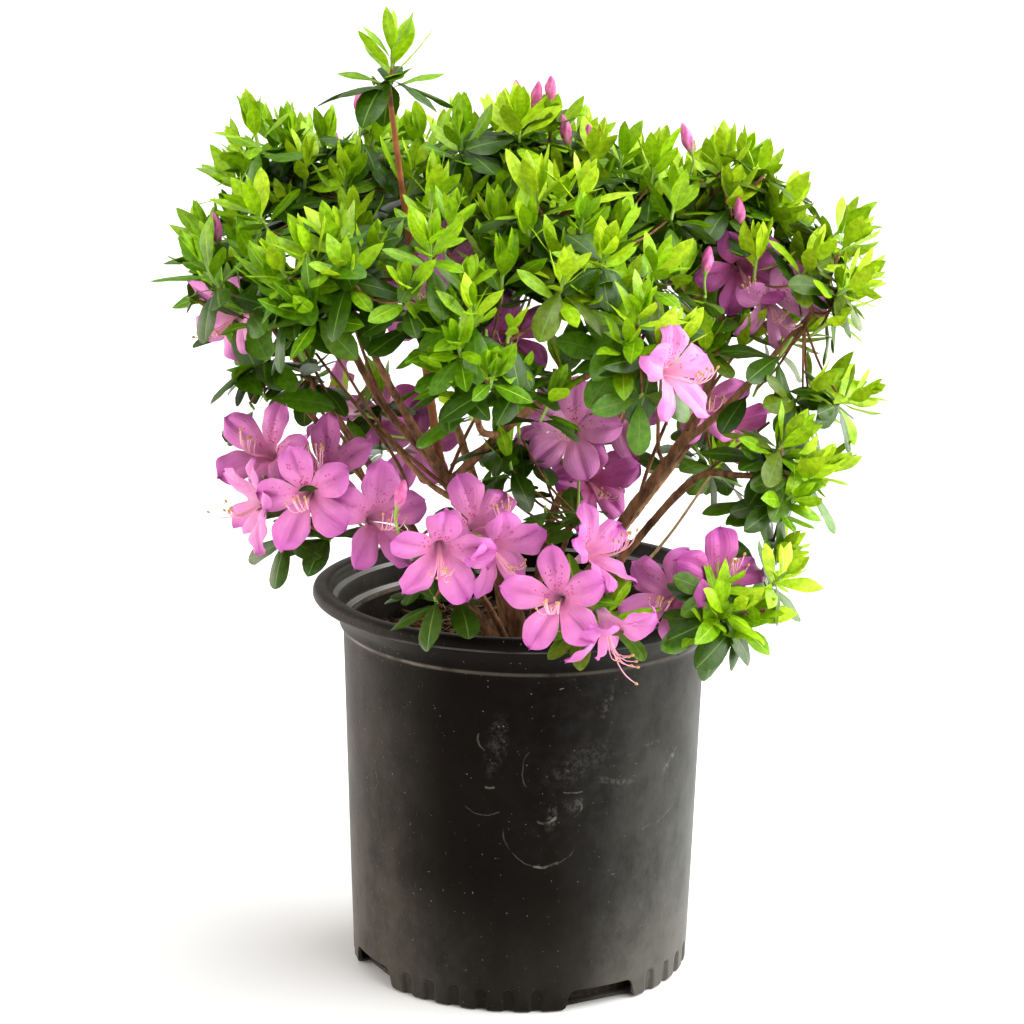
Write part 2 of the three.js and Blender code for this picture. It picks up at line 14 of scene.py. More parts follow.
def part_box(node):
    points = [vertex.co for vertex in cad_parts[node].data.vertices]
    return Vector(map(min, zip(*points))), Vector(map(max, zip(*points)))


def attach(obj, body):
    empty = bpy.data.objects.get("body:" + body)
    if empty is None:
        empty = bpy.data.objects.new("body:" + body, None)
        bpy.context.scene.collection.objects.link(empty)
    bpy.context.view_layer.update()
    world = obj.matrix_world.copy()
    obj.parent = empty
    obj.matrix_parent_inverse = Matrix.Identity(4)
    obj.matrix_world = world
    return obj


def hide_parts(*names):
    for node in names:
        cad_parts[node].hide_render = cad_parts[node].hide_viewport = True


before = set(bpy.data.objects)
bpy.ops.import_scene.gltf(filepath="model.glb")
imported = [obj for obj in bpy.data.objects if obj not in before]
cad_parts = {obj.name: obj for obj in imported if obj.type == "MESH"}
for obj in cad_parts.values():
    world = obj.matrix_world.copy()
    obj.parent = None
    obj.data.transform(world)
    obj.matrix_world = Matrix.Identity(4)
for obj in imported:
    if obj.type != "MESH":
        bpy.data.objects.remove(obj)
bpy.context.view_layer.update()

MM = 0.001
UP = np.array([0.0, 0.0, 1.0])
GOLDEN_ANGLE = math.pi * (3 - math.sqrt(5))

# A direction that nothing here runs along
ODD_AXIS = (0.31, 0.17, 0.93)

# Pot and soil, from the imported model
RIM_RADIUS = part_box("pot")[1].x / MM
POT_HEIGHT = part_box("pot")[1].z / MM
SOIL_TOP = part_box("soil")[1].z / MM
LIP_HEIGHT = 7
LIP_WIDTH = 9
COLLAR_RADIUS = 108
LEDGE_RADIUS = 100.5
SHOULDER_RADIUS = 98.5
SHOULDER_HEIGHT = 187
FOOT_RADIUS = 92
WALL = 1.8
NOTCH_COUNT = 4
NOTCH_TURN = 28.5
NOTCH_WIDTH = 42
NOTCH_HEIGHT = 12
NOTCH_CORNER = 5
NOTCH_BITE = 10
FLUTES_BETWEEN = 6
FLUTE_SPACING = 9.25
FLUTE_SHIFT = -1.2
FLUTE_WIDTH = 6.8
FLUTE_HEIGHT = 13.5
FLUTE_DEPTH = 2.0

# The growth rule, as in the part's source
CROWN_HEART = np.array([0.0, 0.0, 290.0])
GAP = 0.35
ENTRY_SHARE = 0.5
HUB_REACH = 9
LEAF_ROOM = 20
FACING_LIFT = 0.35
CAP_SPREAD = 105
TURN_JITTER = 0.6
TIP_DEPTH = 0.14
TWIG_SAG = (0.06, 0.16)
JOINT_SHARES = (0.7, 0.2)
STEM_RADIUS = 1.7
TWIG_RADIUS = 1.25
TWIG_TIP_RADIUS = 0.9
TWIG_LEAN = 0.35
EDGE_LEANS = (0.55, 1.35)
SIDE_PLACES = (-160, 160)
EDGE_DISTANCES = (80, 180)
LIT_SIDE = np.array([0.75, 0.1, 0.65])
LIT_REACH = (-80, 175)
FLARE_SHARE = 0.7
FLARE_HEIGHT = 8

# Finer twigs: how many are tried for each coarse one, their reach, and how close their tips may come
FINE_TRIES = {
    "leaves_leader": 0,
    "leaves_front_low": 14,
    "leaves_inner": 8,
    "leaves_flower_left": 12,
    "leaves_flower_middle": 12,
    "leaves_flower_front": 12,
    "leaves_flower_right": 14,
}
OTHER_FINE_TRIES = 22
FINE_SPREAD = 128
FINE_LEAF_ROOM = 25
FINE_UNEVEN = 5
FINE_DEPTH = 0.5
FINE_SPACING = 20.5
RISE_ROOM = 11
TUFT_ROOM = 7
EXTRA_BACK = 8
FINE_REACH = 26
FINE_LENGTHS = (9, 78)
FINE_RADII = (0.85, 0.6)
WALL_SLACK = 10
TWIG_STEPS = 12
FINE_STEPS = 9
JOINT_STEPS = 14
FIRST_JOINT = 4

# The leader's shoots: how much of its lower twigs stays, how far its top one stands back, how high
# it rises, its size and the painted shade of its green
LEADER_CUT = 0.25
LEADER_BACK = 10
LEADER_RISE = 13
LEADER_VIGOUR = 1.16
LEADER_SHADE = 1.2

# The share of shoots that bear old leaves alone, in the masses that stand in shade
SPENT_SHARES = {
    "leaves_left_low": 0.85,
    "leaves_left_outer": 0.2,
    "leaves_flower_left": 0.75,
    "leaves_flower_middle": 0.6,
    "leaves_flower_front": 0.4,
    "leaves_inner": 0.6,
    "leaves_back_middle": 0.7,
    "leaves_back_low_left": 0.5,
    "leaves_back_low_right": 0.5,
    "leaves_right_front": 0.3,
    "leaves_left_top": 0.1,
    "leaves_top_right": 0.15,
}

# The highest that tips stand, by X, in the middle of the crown, and how it falls towards the back
ROOF_X = (-190, -155, -127, -95, -60, -30, 10, 36, 60, 80, 95, 125, 140, 160, 185)
ROOF_HEIGHTS = (384, 448, 446, 452, 452, 454, 454, 440, 428, 427, 443, 453, 440, 404, 358)
ROOF_FALL = 0.22
ROOF_UNEVEN = 4

# How far tips stand to the left and to the right, by height
SIDE_HEIGHTS = (260, 290, 322, 345, 366, 385, 405, 430)
SIDE_LEFT = (-140, -144, -147, -149, -157, -170, -165, -150)
SIDE_RIGHT = (146, 152, 168, 132, 160, 168, 156, 144)

# Tips between two masses of the upper crown, so that it closes: how many, how far apart the masses
# may be, and how low
BRIDGE_TIPS = 7
BRIDGE_GAP = 34
BRIDGE_FLOOR = 352
BRIDGE_LOWEST = 368
BRIDGE_SPREAD = 38
BRIDGE_DROP = 8

# Tips that the photo shows beside the ones that the rule finds
EXTRA_TIPS = {
    "leaves_left_top": [
        (-148, 16, 442), (-144, -6, 454), (-146, 0, 452), (-122, 20, 448), (-102, 34, 452), (-84, 20, 452),
        (-70, 34, 452), (-134, 40, 448), (-98, -8, 428), (-80, -12, 424), (-64, 0, 430),
        (-114, -14, 424),
    ],
    "leaves_front_left": [(-90, -38, 414), (-72, -40, 410), (-106, -50, 410)],
    "leaves_left_outer": [(-180, -4, 400), (-176, 14, 404)],
    "leaves_top_middle": [
        (26, 20, 450), (42, 26, 446), (58, 24, 436), (-56, 14, 452), (10, 10, 462), (-40, 10, 458),
        (-36, -8, 456), (-22, 2, 460), (-6, -6, 462), (22, 0, 456), (-50, -4, 454),
    ],
    "leaves_top_right": [
        (70, 14, 434), (86, 4, 434), (100, 10, 440), (118, 4, 444), (134, 10, 442), (146, 20, 428),
        (128, -12, 408), (138, -2, 402), (142, -16, 392),
        (112, 6, 452), (124, 12, 454), (138, 8, 444), (148, 2, 420), (144, -8, 414), (130, 0, 436),
        (155, 0, 410), (150, -12, 400), (115, 0, 348), (129, 0, 338), (107, 0, 358), (123, 2, 354),
        (120, 4, 360), (132, 16, 352), (110, 22, 350), (140, -4, 350), (94, -14, 354),
        (82, -6, 346), (104, -26, 350), (90, 10, 362),
    ],
    "leaves_inner": [
        (-8, -34, 290), (10, -44, 272), (-4, -20, 306),
        (8, -36, 298), (-16, -6, 296), (-14, 10, 268), (-30, 6, 262), (-4, 14, 280), (6, 2, 292),
        (-26, 12, 244),
    ],
    "leaves_flower_left": [(-118, -84, 268), (-102, -84, 265), (-112, -60, 268)],
    "leaves_flower_middle": [(-54, -90, 243), (-34, -98, 237), (-18, -106, 235), (-68, -84, 248)],
    "leaves_right_outer": [
        (171, -30, 325), (163, -30, 307), (149, -30, 328), (164, -30, 376), (132, -30, 324),
        (156, -6, 318), (120, -14, 332), (110, -20, 324), (134, -2, 340), (126, 12, 324),
        (146, -12, 332), (118, -10, 318),
    ],
    "leaves_right_low": [
        (139, -40, 299), (121, -60, 289), (142, -60, 273), (127, -60, 241), (155, -34, 285),
        (109, -60, 252),
    ],
    "leaves_left_low": [
        (-160, -20, 336), (-151, -20, 320), (-120, -20, 336), (-101, -20, 344), (-136, -20, 314),
        (-118, 10, 330),
    ],
    "leaves_front_low": [
        (-29, -120, 337), (-44, -112, 344), (-14, -122, 327), (8, -120, 337), (-4, -132, 354),
    ],
    "leaves_front_middle": [(17, -60, 346), (-12, -66, 352)],
    "leaves_flower_right": [
        (80, -122, 240), (104, -120, 245), (130, -112, 248), (119, -118, 231), (92, -126, 225),
        (122, -110, 222),
    ],
}

# Stems from the soil, and boughs that leave one of them at a share of its length: name, foot or
# (parent, share), points passed on the way, tip or None where it enters its mass, radii.
LIMBS = [
    ("trunk", (1, 2), [(-20, -3, 231)], (-48, -10, 280), (4.8, 3.3)),
    ("bough_leader", ("trunk", 0.96), [(-53, -16, 330)], None, (2.5, 1.4)),
    ("bough_left_top", ("trunk", 0.95), [(-82, 10, 314)], None, (2.4, 1.6)),
    ("bough_front_left", ("trunk", 0.92), [(-68, -45, 322)], None, (2.2, 1.5)),
    ("bough_right_front", ("trunk", 0.88), [(-2, -46, 314)], None, (2.6, 1.6)),
    ("bough_front_low", ("bough_right_front", 0.3), [(-24, -66, 310)], None, (1.9, 1.4)),
    ("bough_front_middle", ("bough_leader", 0.22), [(-30, -28, 338)], None, (2.1, 1.5)),
    ("bough_top_middle", ("bough_leader", 0.4), [(-38, 6, 368)], None, (2.1, 1.5)),
    ("stem_left", (-13, 7), [(-50, 10, 222), (-86, 11, 275)], None, (2.7, 1.6)),
    ("stem_left_low", (-11, -5), [(-52, -10, 225), (-90, -16, 276)], None, (2.3, 1.5)),
    ("bough_flower_left", ("stem_left_low", 0.5), [(-88, -38, 258)], None, (1.7, 1.3)),
    ("stem_right", (12, 5), [(48, -5, 240), (94, -9, 316)], None, (3.9, 2.0)),
    ("bough_right_outer", ("stem_right", 0.55), [(104, -16, 312)], None, (2.1, 1.5)),
    ("bough_back_low_right", ("stem_right", 0.25), [(58, 28, 240)], None, (2.0, 1.4)),
    ("stem_right_low", (15, -8), [(65, -14, 246), (92, -27, 278)], None, (2.7, 1.6)),
    ("stem_dry", (10, -18), [(68, -27, 235)], (97, -35, 280), (1.0, 0.7)),
    ("stem_middle", (4, 14), [(14, 10, 245), (42, 24, 298)], None, (2.6, 1.6)),
    ("bough_back_middle", ("stem_middle", 0.4), [(30, 40, 266)], None, (1.8, 1.3)),
    ("bough_inner", ("stem_middle", 0.24), [(18, -2, 228)], None, (1.6, 1.3)),
    ("stem_back", (-8, 17), [(-28, 50, 255)], None, (3.0, 1.7)),
    ("bough_back_crown", ("stem_back", 0.55), [(-30, 88, 330)], None, (2.1, 1.5)),
    ("bough_back_low_left", ("stem_back", 0.3), [(-52, 62, 250)], None, (1.9, 1.4)),
    ("stem_low_left", (-6, -15), [(-20, -46, 212)], None, (2.0, 1.4)),
    ("stem_low_front", (4, -20), [(10, -56, 205)], None, (2.0, 1.4)),
    ("stem_low_right", (18, -20), [(46, -52, 208)], None, (2.0, 1.4)),
]

# Thin bare stems: the limb that each leaves, at which share of it, the point it passes and its end
THIN_STEMS = [
    ("stem_left", 0.55, (-100, 4, 300), (-124, -4, 350)),
    ("stem_left", 0.35, (-66, 2, 270), (-112, -10, 338)),
    ("stem_left_low", 0.62, (-96, -30, 296), (-122, -42, 330)),
    ("trunk", 0.80, (-72, -24, 296), (-100, -50, 346)),
    ("trunk", 0.62, (-52, -6, 280), (-84, -20, 344)),
    ("bough_left_top", 0.2, (-78, -8, 316), (-96, -14, 366)),
    ("bough_leader", 0.2, (-46, -20, 320), (-64, -40, 366)),
    ("trunk", 0.9, (-30, -14, 300), (-6, -20, 340)),
    ("stem_right", 0.4, (66, 4, 276), (92, 10, 342)),
    ("stem_right", 0.6, (84, -14, 300), (112, -8, 344)),
    ("stem_right", 0.5, (70, -16, 290), (70, -34, 344)),
    ("stem_right_low", 0.5, (84, -20, 268), (128, -20, 306)),
    ("stem_middle", 0.5, (20, 6, 276), (14, -4, 330)),
]
THIN_RADII = (1.15, 0.75)
THIN_STEPS = 24

# Masses of foliage: name, the limb that feeds it, centre, reach along X, Y and Z, and coarse tips.
MASSES = [
    ("leaves_leader", "bough_leader", (-74, -40, 490), (40, 36, 37), 3),
    ("leaves_left_top", "bough_left_top", (-132, 28, 428), (56, 50, 48), 6),
    ("leaves_left_outer", "stem_left", (-158, -12, 386), (40, 46, 46), 4),
    ("leaves_left_low", "stem_left_low", (-136, -34, 338), (38, 36, 30), 3),
    ("leaves_front_left", "bough_front_left", (-98, -104, 398), (50, 44, 38), 5),
    ("leaves_top_middle", "bough_top_middle", (-14, 48, 438), (56, 50, 44), 6),
    ("leaves_front_middle", "bough_front_middle", (16, -66, 412), (58, 50, 44), 6),
    ("leaves_front_low", "bough_front_low", (-26, -136, 366), (46, 38, 42), 4),
    ("leaves_right_front", "bough_right_front", (56, -122, 366), (40, 40, 44), 4),
    ("leaves_top_right", "stem_right", (109, 20, 416), (52, 50, 52), 6),
    ("leaves_right_outer", "bough_right_outer", (158, -22, 376), (42, 50, 56), 5),
    ("leaves_right_low", "stem_right_low", (128, -58, 286), (38, 40, 46), 4),
    ("leaves_flower_left", "bough_flower_left", (-124, -78, 280), (42, 42, 40), 3),
    ("leaves_flower_middle", "stem_low_left", (-44, -108, 262), (46, 42, 42), 3),
    ("leaves_flower_front", "stem_low_front", (28, -124, 238), (44, 38, 42), 3),
    ("leaves_flower_right", "stem_low_right", (98, -110, 230), (42, 40, 38), 4),
    ("leaves_inner", "bough_inner", (26, -34, 256), (30, 28, 30), 2),
    ("leaves_back_left", "stem_back", (-90, 112, 402), (56, 50, 50), 6),
    ("leaves_back_crown", "bough_back_crown", (-4, 126, 400), (48, 46, 48), 5),
    ("leaves_back_right", "stem_middle", (82, 112, 398), (56, 50, 50), 6),
    ("leaves_back_middle", "bough_back_middle", (42, 88, 288), (44, 38, 38), 2),
    ("leaves_back_low_left", "bough_back_low_left", (-92, 96, 284), (42, 38, 38), 3),
    ("leaves_back_low_right", "bough_back_low_right", (102, 76, 286), (42, 38, 38), 3),
]
MASS_LIMB = {limb: name for name, limb, *_ in MASSES}
MASS_SPACE = {
    name: (np.array(centre, float), np.array(reach, float)) for name, _, centre, reach, _ in MASSES
}

# Open flowers: their mass, the middle of the open face, the azimuth (0 is the front, + to the
# right) and elevation that it looks to, in degrees, and how far leaves keep clear of its face.
BLOOMS = [
    ("leaves_flower_left", (-138, -60, 298), -25, 30, 26),
    ("leaves_flower_left", (-106, -66, 291), -10, 38, 20),
    ("leaves_flower_left", (-112, -114, 284), -8, 5, 28),
    ("leaves_flower_left", (-142, -92, 275), -62, -5, 26),
    ("leaves_flower_middle", (-72, -106, 272), 25, 15, 24),
    ("leaves_flower_middle", (-42, -140, 260), 5, -15, 28),
    ("leaves_flower_middle", (-20, -110, 274), 35, 35, 26),
    ("leaves_flower_middle", (-10, -126, 258), 40, -15, 24),
    ("leaves_flower_front", (14, -150, 242), -12, 10, 28),
    ("leaves_flower_front", (40, -118, 262), 60, 30, 22),
    ("leaves_flower_front", (46, -144, 220), 45, -50, 18),
    ("leaves_flower_right", (102, -104, 246), 30, 40, 10),
    ("leaves_flower_right", (72, -102, 232), -20, 10, 0),
    ("leaves_right_front", (76, -142, 356), 45, 10, 28),
    ("leaves_left_outer", (-158, -38, 360), -38, -15, 18),
    ("leaves_top_right", (113, -8, 382), 8, -12, 14),
    ("leaves_top_right", (132, -8, 364), 20, -16, 16),
    ("leaves_top_middle", (-44, -12, 388), 0, 14, 13),
    ("leaves_front_middle", (-52, -36, 372), 0, 14, 12),
    ("leaves_front_middle", (-10, -58, 358), 0, 14, 14),
    ("leaves_inner", (22, -18, 300), -10, 14, 22),
    ("leaves_inner", (40, 12, 262), 20, 0, 14),
    ("leaves_back_middle", (12, 104, 282), -170, 15, 20),
    ("leaves_back_middle", (50, 62, 292), 10, 10, 24),
    ("leaves_back_middle", (38, 64, 256), 0, -30, 14),
    ("leaves_back_middle", (46, 118, 290), 170, 20, 24),
    ("leaves_back_low_right", (100, 56, 300), 20, 20, 20),
    ("leaves_back_low_right", (120, 96, 280), 130, 0, 26),
    ("leaves_back_low_left", (-112, 88, 292), -110, 15, 26),
    ("leaves_back_low_left", (-84, 122, 280), -160, 0, 28),
    ("leaves_back_low_left", (-62, 108, 262), 175, -20, 24),
    ("leaves_back_crown", (-6, 158, 372), 180, 10, 20),
    ("leaves_back_left", (-118, 140, 376), -140, 0, 22),
    ("leaves_back_right", (116, 136, 372), 140, 5, 22),
]

# Closed buds: where each stands
BUDS = [
    (10, 8, 471), (2, 8, 466), (-7, 8, 468), (20, 2, 449), (32, 4, 446), (84, 0, 446),
    (110, -10, 410), (91, -40, 389), (-174, -10, 392), (-163, -10, 397), (-90, 12, 462),
    (-64, -128, 284), (-30, 110, 428), (70, 130, 420), (-110, 120, 426),
]

# How far a bud stands from every shoot before it gets one of its own
BUD_ALONE = 12


def unit(vectors):
    vectors = np.asarray(vectors, float)
    return vectors / np.linalg.norm(vectors, axis=-1, keepdims=True)


def look_direction(azimuth, elevation):
    """The direction at an azimuth from the front and an elevation, in degrees."""
    azimuth, elevation = math.radians(azimuth), math.radians(elevation)
    level = math.cos(elevation)
    return np.array([level * math.sin(azimuth), -level * math.cos(azimuth), math.sin(elevation)])


def lerp(a, b, share):
    return a + (b - a) * share


def smooth_step(low, high, value):
    share = np.clip((value - low) / (high - low), 0, 1)
    return share * share * (3 - 2 * share)


def seeded_random(seed):
    """A repeatable stream of numbers from 0 to 1."""
    state = seed * 2654435761 & 0xFFFFFFFF
    while True:
        state = (state * 1664525 + 1013904223) & 0xFFFFFFFF
        yield state / 4294967296


def square_to(direction):
    """Two directions square to a third."""
    side = unit(np.cross(ODD_AXIS, direction))
    return side, np.cross(direction, side)


CURVE_STEPS = 24


def path_through(points, count):
    """A smooth centripetal curve through the points, at equal steps of its length."""
    points = np.asarray(points, float)
    ghosts = np.vstack([2 * points[0] - points[1], points, 2 * points[-1] - points[-2]])
    share = np.linspace(0, 1, CURVE_STEPS)[:, None]
    pieces = []
    for p0, p1, p2, p3 in zip(ghosts, ghosts[1:], ghosts[2:], ghosts[3:]):
        d0, d1, d2 = (math.sqrt(np.linalg.norm(b - a)) for a, b in ((p0, p1), (p1, p2), (p2, p3)))
        out = ((p1 - p0) / d0 - (p2 - p0) / (d0 + d1) + (p2 - p1) / d1) * d1
        back = ((p2 - p1) / d1 - (p3 - p1) / (d1 + d2) + (p3 - p2) / d2) * d1
        square = 3 * (p2 - p1) - 2 * out - back
        cube = 2 * (p1 - p2) + out + back
        pieces.append(p1 + out * share + square * share**2 + cube * share**3)
    dense = np.vstack(pieces)
    run = np.r_[0, np.cumsum(np.linalg.norm(np.diff(dense, axis=0), axis=1))]
    at = np.linspace(0, run[-1], count)
    return np.stack([np.interp(at, run, dense[:, axis]) for axis in range(3)], axis=1)


def place_on(path, share):
    """The point at a share of an evenly stepped path."""
    at = share * (len(path) - 1)
    first = min(int(at), len(path) - 2)
    return lerp(path[first], path[first + 1], at - first)


class Gather:
    """Gathers sheets and tubes of points in millimetres, and joins them into one piece."""

    def __init__(self):
        self.points = []
        self.maps = []
        self.faces = []
        self.count = 0

    def add(self, points, faces, look=0, maps=None):
        """Adds points[n, xyz] and faces[n, corners] with a material number, or one for each face."""
        points = points.reshape(-1, 3)
        self.points.append(points)
        self.maps.append(np.zeros((len(points), 2)) if maps is None else maps.reshape(-1, 2))
        faces = faces.reshape(-1, faces.shape[-1])
        looks = np.broadcast_to(look, len(faces))
        self.faces.append((faces + self.count, looks))
        self.count += len(points)

    def grid(self, points, look=0, closed=False, maps=None):
        """Adds sheets[n, row, column, xyz]. A closed sheet joins its last column to its first.
        look is one number, or an array that spreads over [n, row, column] of the faces."""
        number, rows, columns, _ = points.shape
        index = np.arange(number * rows * columns).reshape(number, rows, columns)
        if closed:
            index = np.concatenate([index, index[:, :, :1]], axis=2)
        corners = (index[:, :-1, :-1], index[:, :-1, 1:], index[:, 1:, 1:], index[:, 1:, :-1])
        faces = np.stack(corners, axis=-1)
        looks = np.broadcast_to(look, faces.shape[:3]).reshape(-1)
        self.add(points, faces, looks, maps)

    def tube(self, paths, radii, sides, look=0):
        """Adds round tubes along paths[n, step, xyz] with radii[n, step], closed at both ends."""
        along, side, other = frames_along(paths)
        turn = np.linspace(0, 2 * math.pi, sides, endpoint=False)[:, None]
        ring = side[:, :, None] * np.cos(turn) + other[:, :, None] * np.sin(turn)
        points = paths[:, :, None] + ring * np.asarray(radii)[:, :, None, None]
        number, steps = paths.shape[:2]
        ends = np.arange(number * steps * sides).reshape(number, steps, sides)
        base = self.count
        self.grid(points, np.reshape(look, (-1, 1, 1)) if np.ndim(look) else look, closed=True)
        looks = np.broadcast_to(look, number)
        self.faces.append((ends[:, 0, ::-1] + base, looks))
        self.faces.append((ends[:, -1] + base, looks))

    def piece(self, name, materials, slot, replaced=()):
        """Makes the gathered shapes one object, which rides on the shrub's only body."""
        mesh = bpy.data.meshes.new(name)
        points = np.concatenate(self.points) * MM
        mesh.vertices.add(len(points))
        mesh.vertices.foreach_set("co", points.astype(np.float32).ravel())
        corners = np.concatenate([faces.ravel() for faces, _ in self.faces])
        sizes = np.concatenate([np.full(len(faces), faces.shape[1]) for faces, _ in self.faces])
        looks = np.concatenate([looks for _, looks in self.faces])
        mesh.loops.add(len(corners))
        mesh.loops.foreach_set("vertex_index", corners.astype(np.int32))
        mesh.polygons.add(len(sizes))
        starts = np.r_[0, np.cumsum(sizes)[:-1]]
        mesh.polygons.foreach_set("loop_start", starts.astype(np.int32))
        mesh.polygons.foreach_set("material_index", looks.astype(np.int32))
        maps = np.concatenate(self.maps)[corners]
        mesh.uv_layers.new(name="Map").data.foreach_set("uv", maps.astype(np.float32).ravel())
        mesh.update(calc_edges=True)
        mesh.shade_smooth()
        for material in materials:
            mesh.materials.append(material)
        made = bpy.data.objects.new(name, mesh)
        bpy.context.scene.collection.objects.link(made)
        return dress(made, replaced)


def dress(made, replaced=()):
    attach(made, "root")
    if replaced:
        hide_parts(*replaced)
    return made


def frames_along(paths):
    """The directions along each path and two square to it, carried along without a twist."""
    along = unit(np.gradient(paths, axis=-2))
    side = np.empty_like(along)
    side[:, 0] = unit(np.cross(ODD_AXIS, along[:, 0]))
    for step in range(1, paths.shape[1]):
        carried = side[:, step - 1]
        lean = (carried * along[:, step]).sum(-1, keepdims=True)
        side[:, step] = unit(carried - lean * along[:, step])
    return along, side, np.cross(along, side)


# Materials


def new_material(name, colour, roughness, specular=0.5):
    material = bpy.data.materials.new(name)
    material.use_nodes = True
    shader = material.node_tree.nodes["Principled BSDF"]
    shader.inputs["Base Color"].default_value = (*colour, 1)
    shader.inputs["Roughness"].default_value = roughness
    shader.inputs["Specular IOR Level"].default_value = specular
    return material, material.node_tree, shader


def grey(value):
    return (value, value, value)


def noise_node(tree, scale, detail=4, roughness=0.6, stretch=(1, 1, 1)):
    """Noise over the object, scale in metres to the power -1."""
    where = tree.nodes.new("ShaderNodeTexCoord")
    spread = tree.nodes.new("ShaderNodeMapping")
    spread.inputs["Scale"].default_value = stretch
    pattern = tree.nodes.new("ShaderNodeTexNoise")
    pattern.inputs["Scale"].default_value = scale
    pattern.inputs["Detail"].default_value = detail
    pattern.inputs["Roughness"].default_value = roughness
    tree.links.new(where.outputs["Object"], spread.inputs["Vector"])
    tree.links.new(spread.outputs["Vector"], pattern.inputs["Vector"])
    return pattern.outputs["Fac"]


def ramp_node(tree, value, stops):
    """Colours by a value: stops are (place, colour)."""
    ramp = tree.nodes.new("ShaderNodeValToRGB")
    elements = ramp.color_ramp.elements
    while len(elements) < len(stops):
        elements.new(0.5)
    for element, (place, colour) in zip(elements, stops):
        element.position = place
        element.color = (*colour, 1)
    tree.links.new(value, ramp.inputs["Fac"])
    return ramp.outputs["Color"]


def bump_node(tree, shader, height, strength, distance):
    bump = tree.nodes.new("ShaderNodeBump")
    bump.inputs["Strength"].default_value = strength
    bump.inputs["Distance"].default_value = distance
    tree.links.new(height, bump.inputs["Height"])
    tree.links.new(bump.outputs["Normal"], shader.inputs["Normal"])


def math_node(tree, operation, first, second=None):
    """A sum on sockets or numbers."""
    node = tree.nodes.new("ShaderNodeMath")
    node.operation = operation
    for socket, value in zip(node.inputs, (first, second)):
        if isinstance(value, (int, float)):
            socket.default_value = value
        elif value is not None:
            tree.links.new(value, socket)
    return node.outputs["Value"]


def product(tree, first, *others):
    """Masks or numbers multiplied."""
    for other in others:
        first = math_node(tree, "MULTIPLY", first, other)
    return first


def vector_node(tree, operation, first, second=None):
    """A sum on one vector socket and another, or three numbers."""
    node = tree.nodes.new("ShaderNodeVectorMath")
    node.operation = operation
    tree.links.new(first, node.inputs[0])
    if isinstance(second, tuple):
        node.inputs[1].default_value = second
    elif second is not None:
        tree.links.new(second, node.inputs[1])
    return node.outputs["Value" if operation in ("DISTANCE", "DOT_PRODUCT") else "Vector"]


def step_node(tree, value, low, high):
    """A mask that rises from 0 at low to 1 at high."""
    node = tree.nodes.new("ShaderNodeMapRange")
    node.interpolation_type = "SMOOTHSTEP"
    node.inputs["From Min"].default_value = low
    node.inputs["From Max"].default_value = high
    tree.links.new(value, node.inputs["Value"])
    return node.outputs["Result"]


def band_node(tree, value, middle, half, soft):
    """A mask that is 1 within half of a middle value."""
    away = math_node(tree, "ABSOLUTE", math_node(tree, "SUBTRACT", value, middle))
    return math_node(tree, "SUBTRACT", 1.0, step_node(tree, away, half, half + soft))


def strongest(tree, masks):
    """The highest of several masks at each place."""
    most = masks[0]
    for mask in masks[1:]:
        most = math_node(tree, "MAXIMUM", most, mask)
    return most


def mix_node(tree, blend, factor, first, second):
    """Two colours blended. A factor may be a number, and a second colour three numbers."""
    node = tree.nodes.new("ShaderNodeMix")
    node.data_type = "RGBA"
    node.blend_type = blend
    if isinstance(factor, (int, float)):
        node.inputs["Factor"].default_value = factor
    else:
        tree.links.new(factor, node.inputs["Factor"])
    tree.links.new(first, node.inputs["A"])
    if isinstance(second, tuple):
        node.inputs["B"].default_value = (*second, 1)
    else:
        tree.links.new(second, node.inputs["B"])
    return node.outputs["Result"]


MOTTLE_PLACES = (0.32, 0.68)
MOTTLE_BUMP = 0.6


def mottled(name, dark, light, scale, roughness, specular=0.5, bump=0.0, stretch=(1, 1, 1)):
    """A material that drifts between two colours."""
    material, tree, shader = new_material(name, light, roughness, specular)
    pattern = noise_node(tree, scale, stretch=stretch)
    colour = ramp_node(tree, pattern, list(zip(MOTTLE_PLACES, (dark, light))))
    tree.links.new(colour, shader.inputs["Base Color"])
    if bump:
        bump_node(tree, shader, pattern, MOTTLE_BUMP, bump)
    return material


# Leaves: how much their blotches darken and lighten them, the blotches' and veins' scales, and relief
LEAF_TONES = (0.74, 1.22)
BLOTCH_PLACES = (0.36, 0.64)
BLOTCH_SCALE = 320
LEAF_VEIN_SCALE = 900
LEAF_BUMP = (0.5, 0.0003)


def leaf_material(name, colour, roughness, specular):
    """A leaf's green with faint blotches, and the fine relief of its veins."""
    material, tree, shader = new_material(name, colour, roughness, specular)
    tones = [tuple(channel * share for channel in colour) for share in LEAF_TONES]
    blotches = noise_node(tree, BLOTCH_SCALE, detail=3)
    blotched = ramp_node(tree, blotches, list(zip(BLOTCH_PLACES, tones)))
    tree.links.new(blotched, shader.inputs["Base Color"])
    bump_node(tree, shader, noise_node(tree, LEAF_VEIN_SCALE, detail=2), *LEAF_BUMP)
    return material
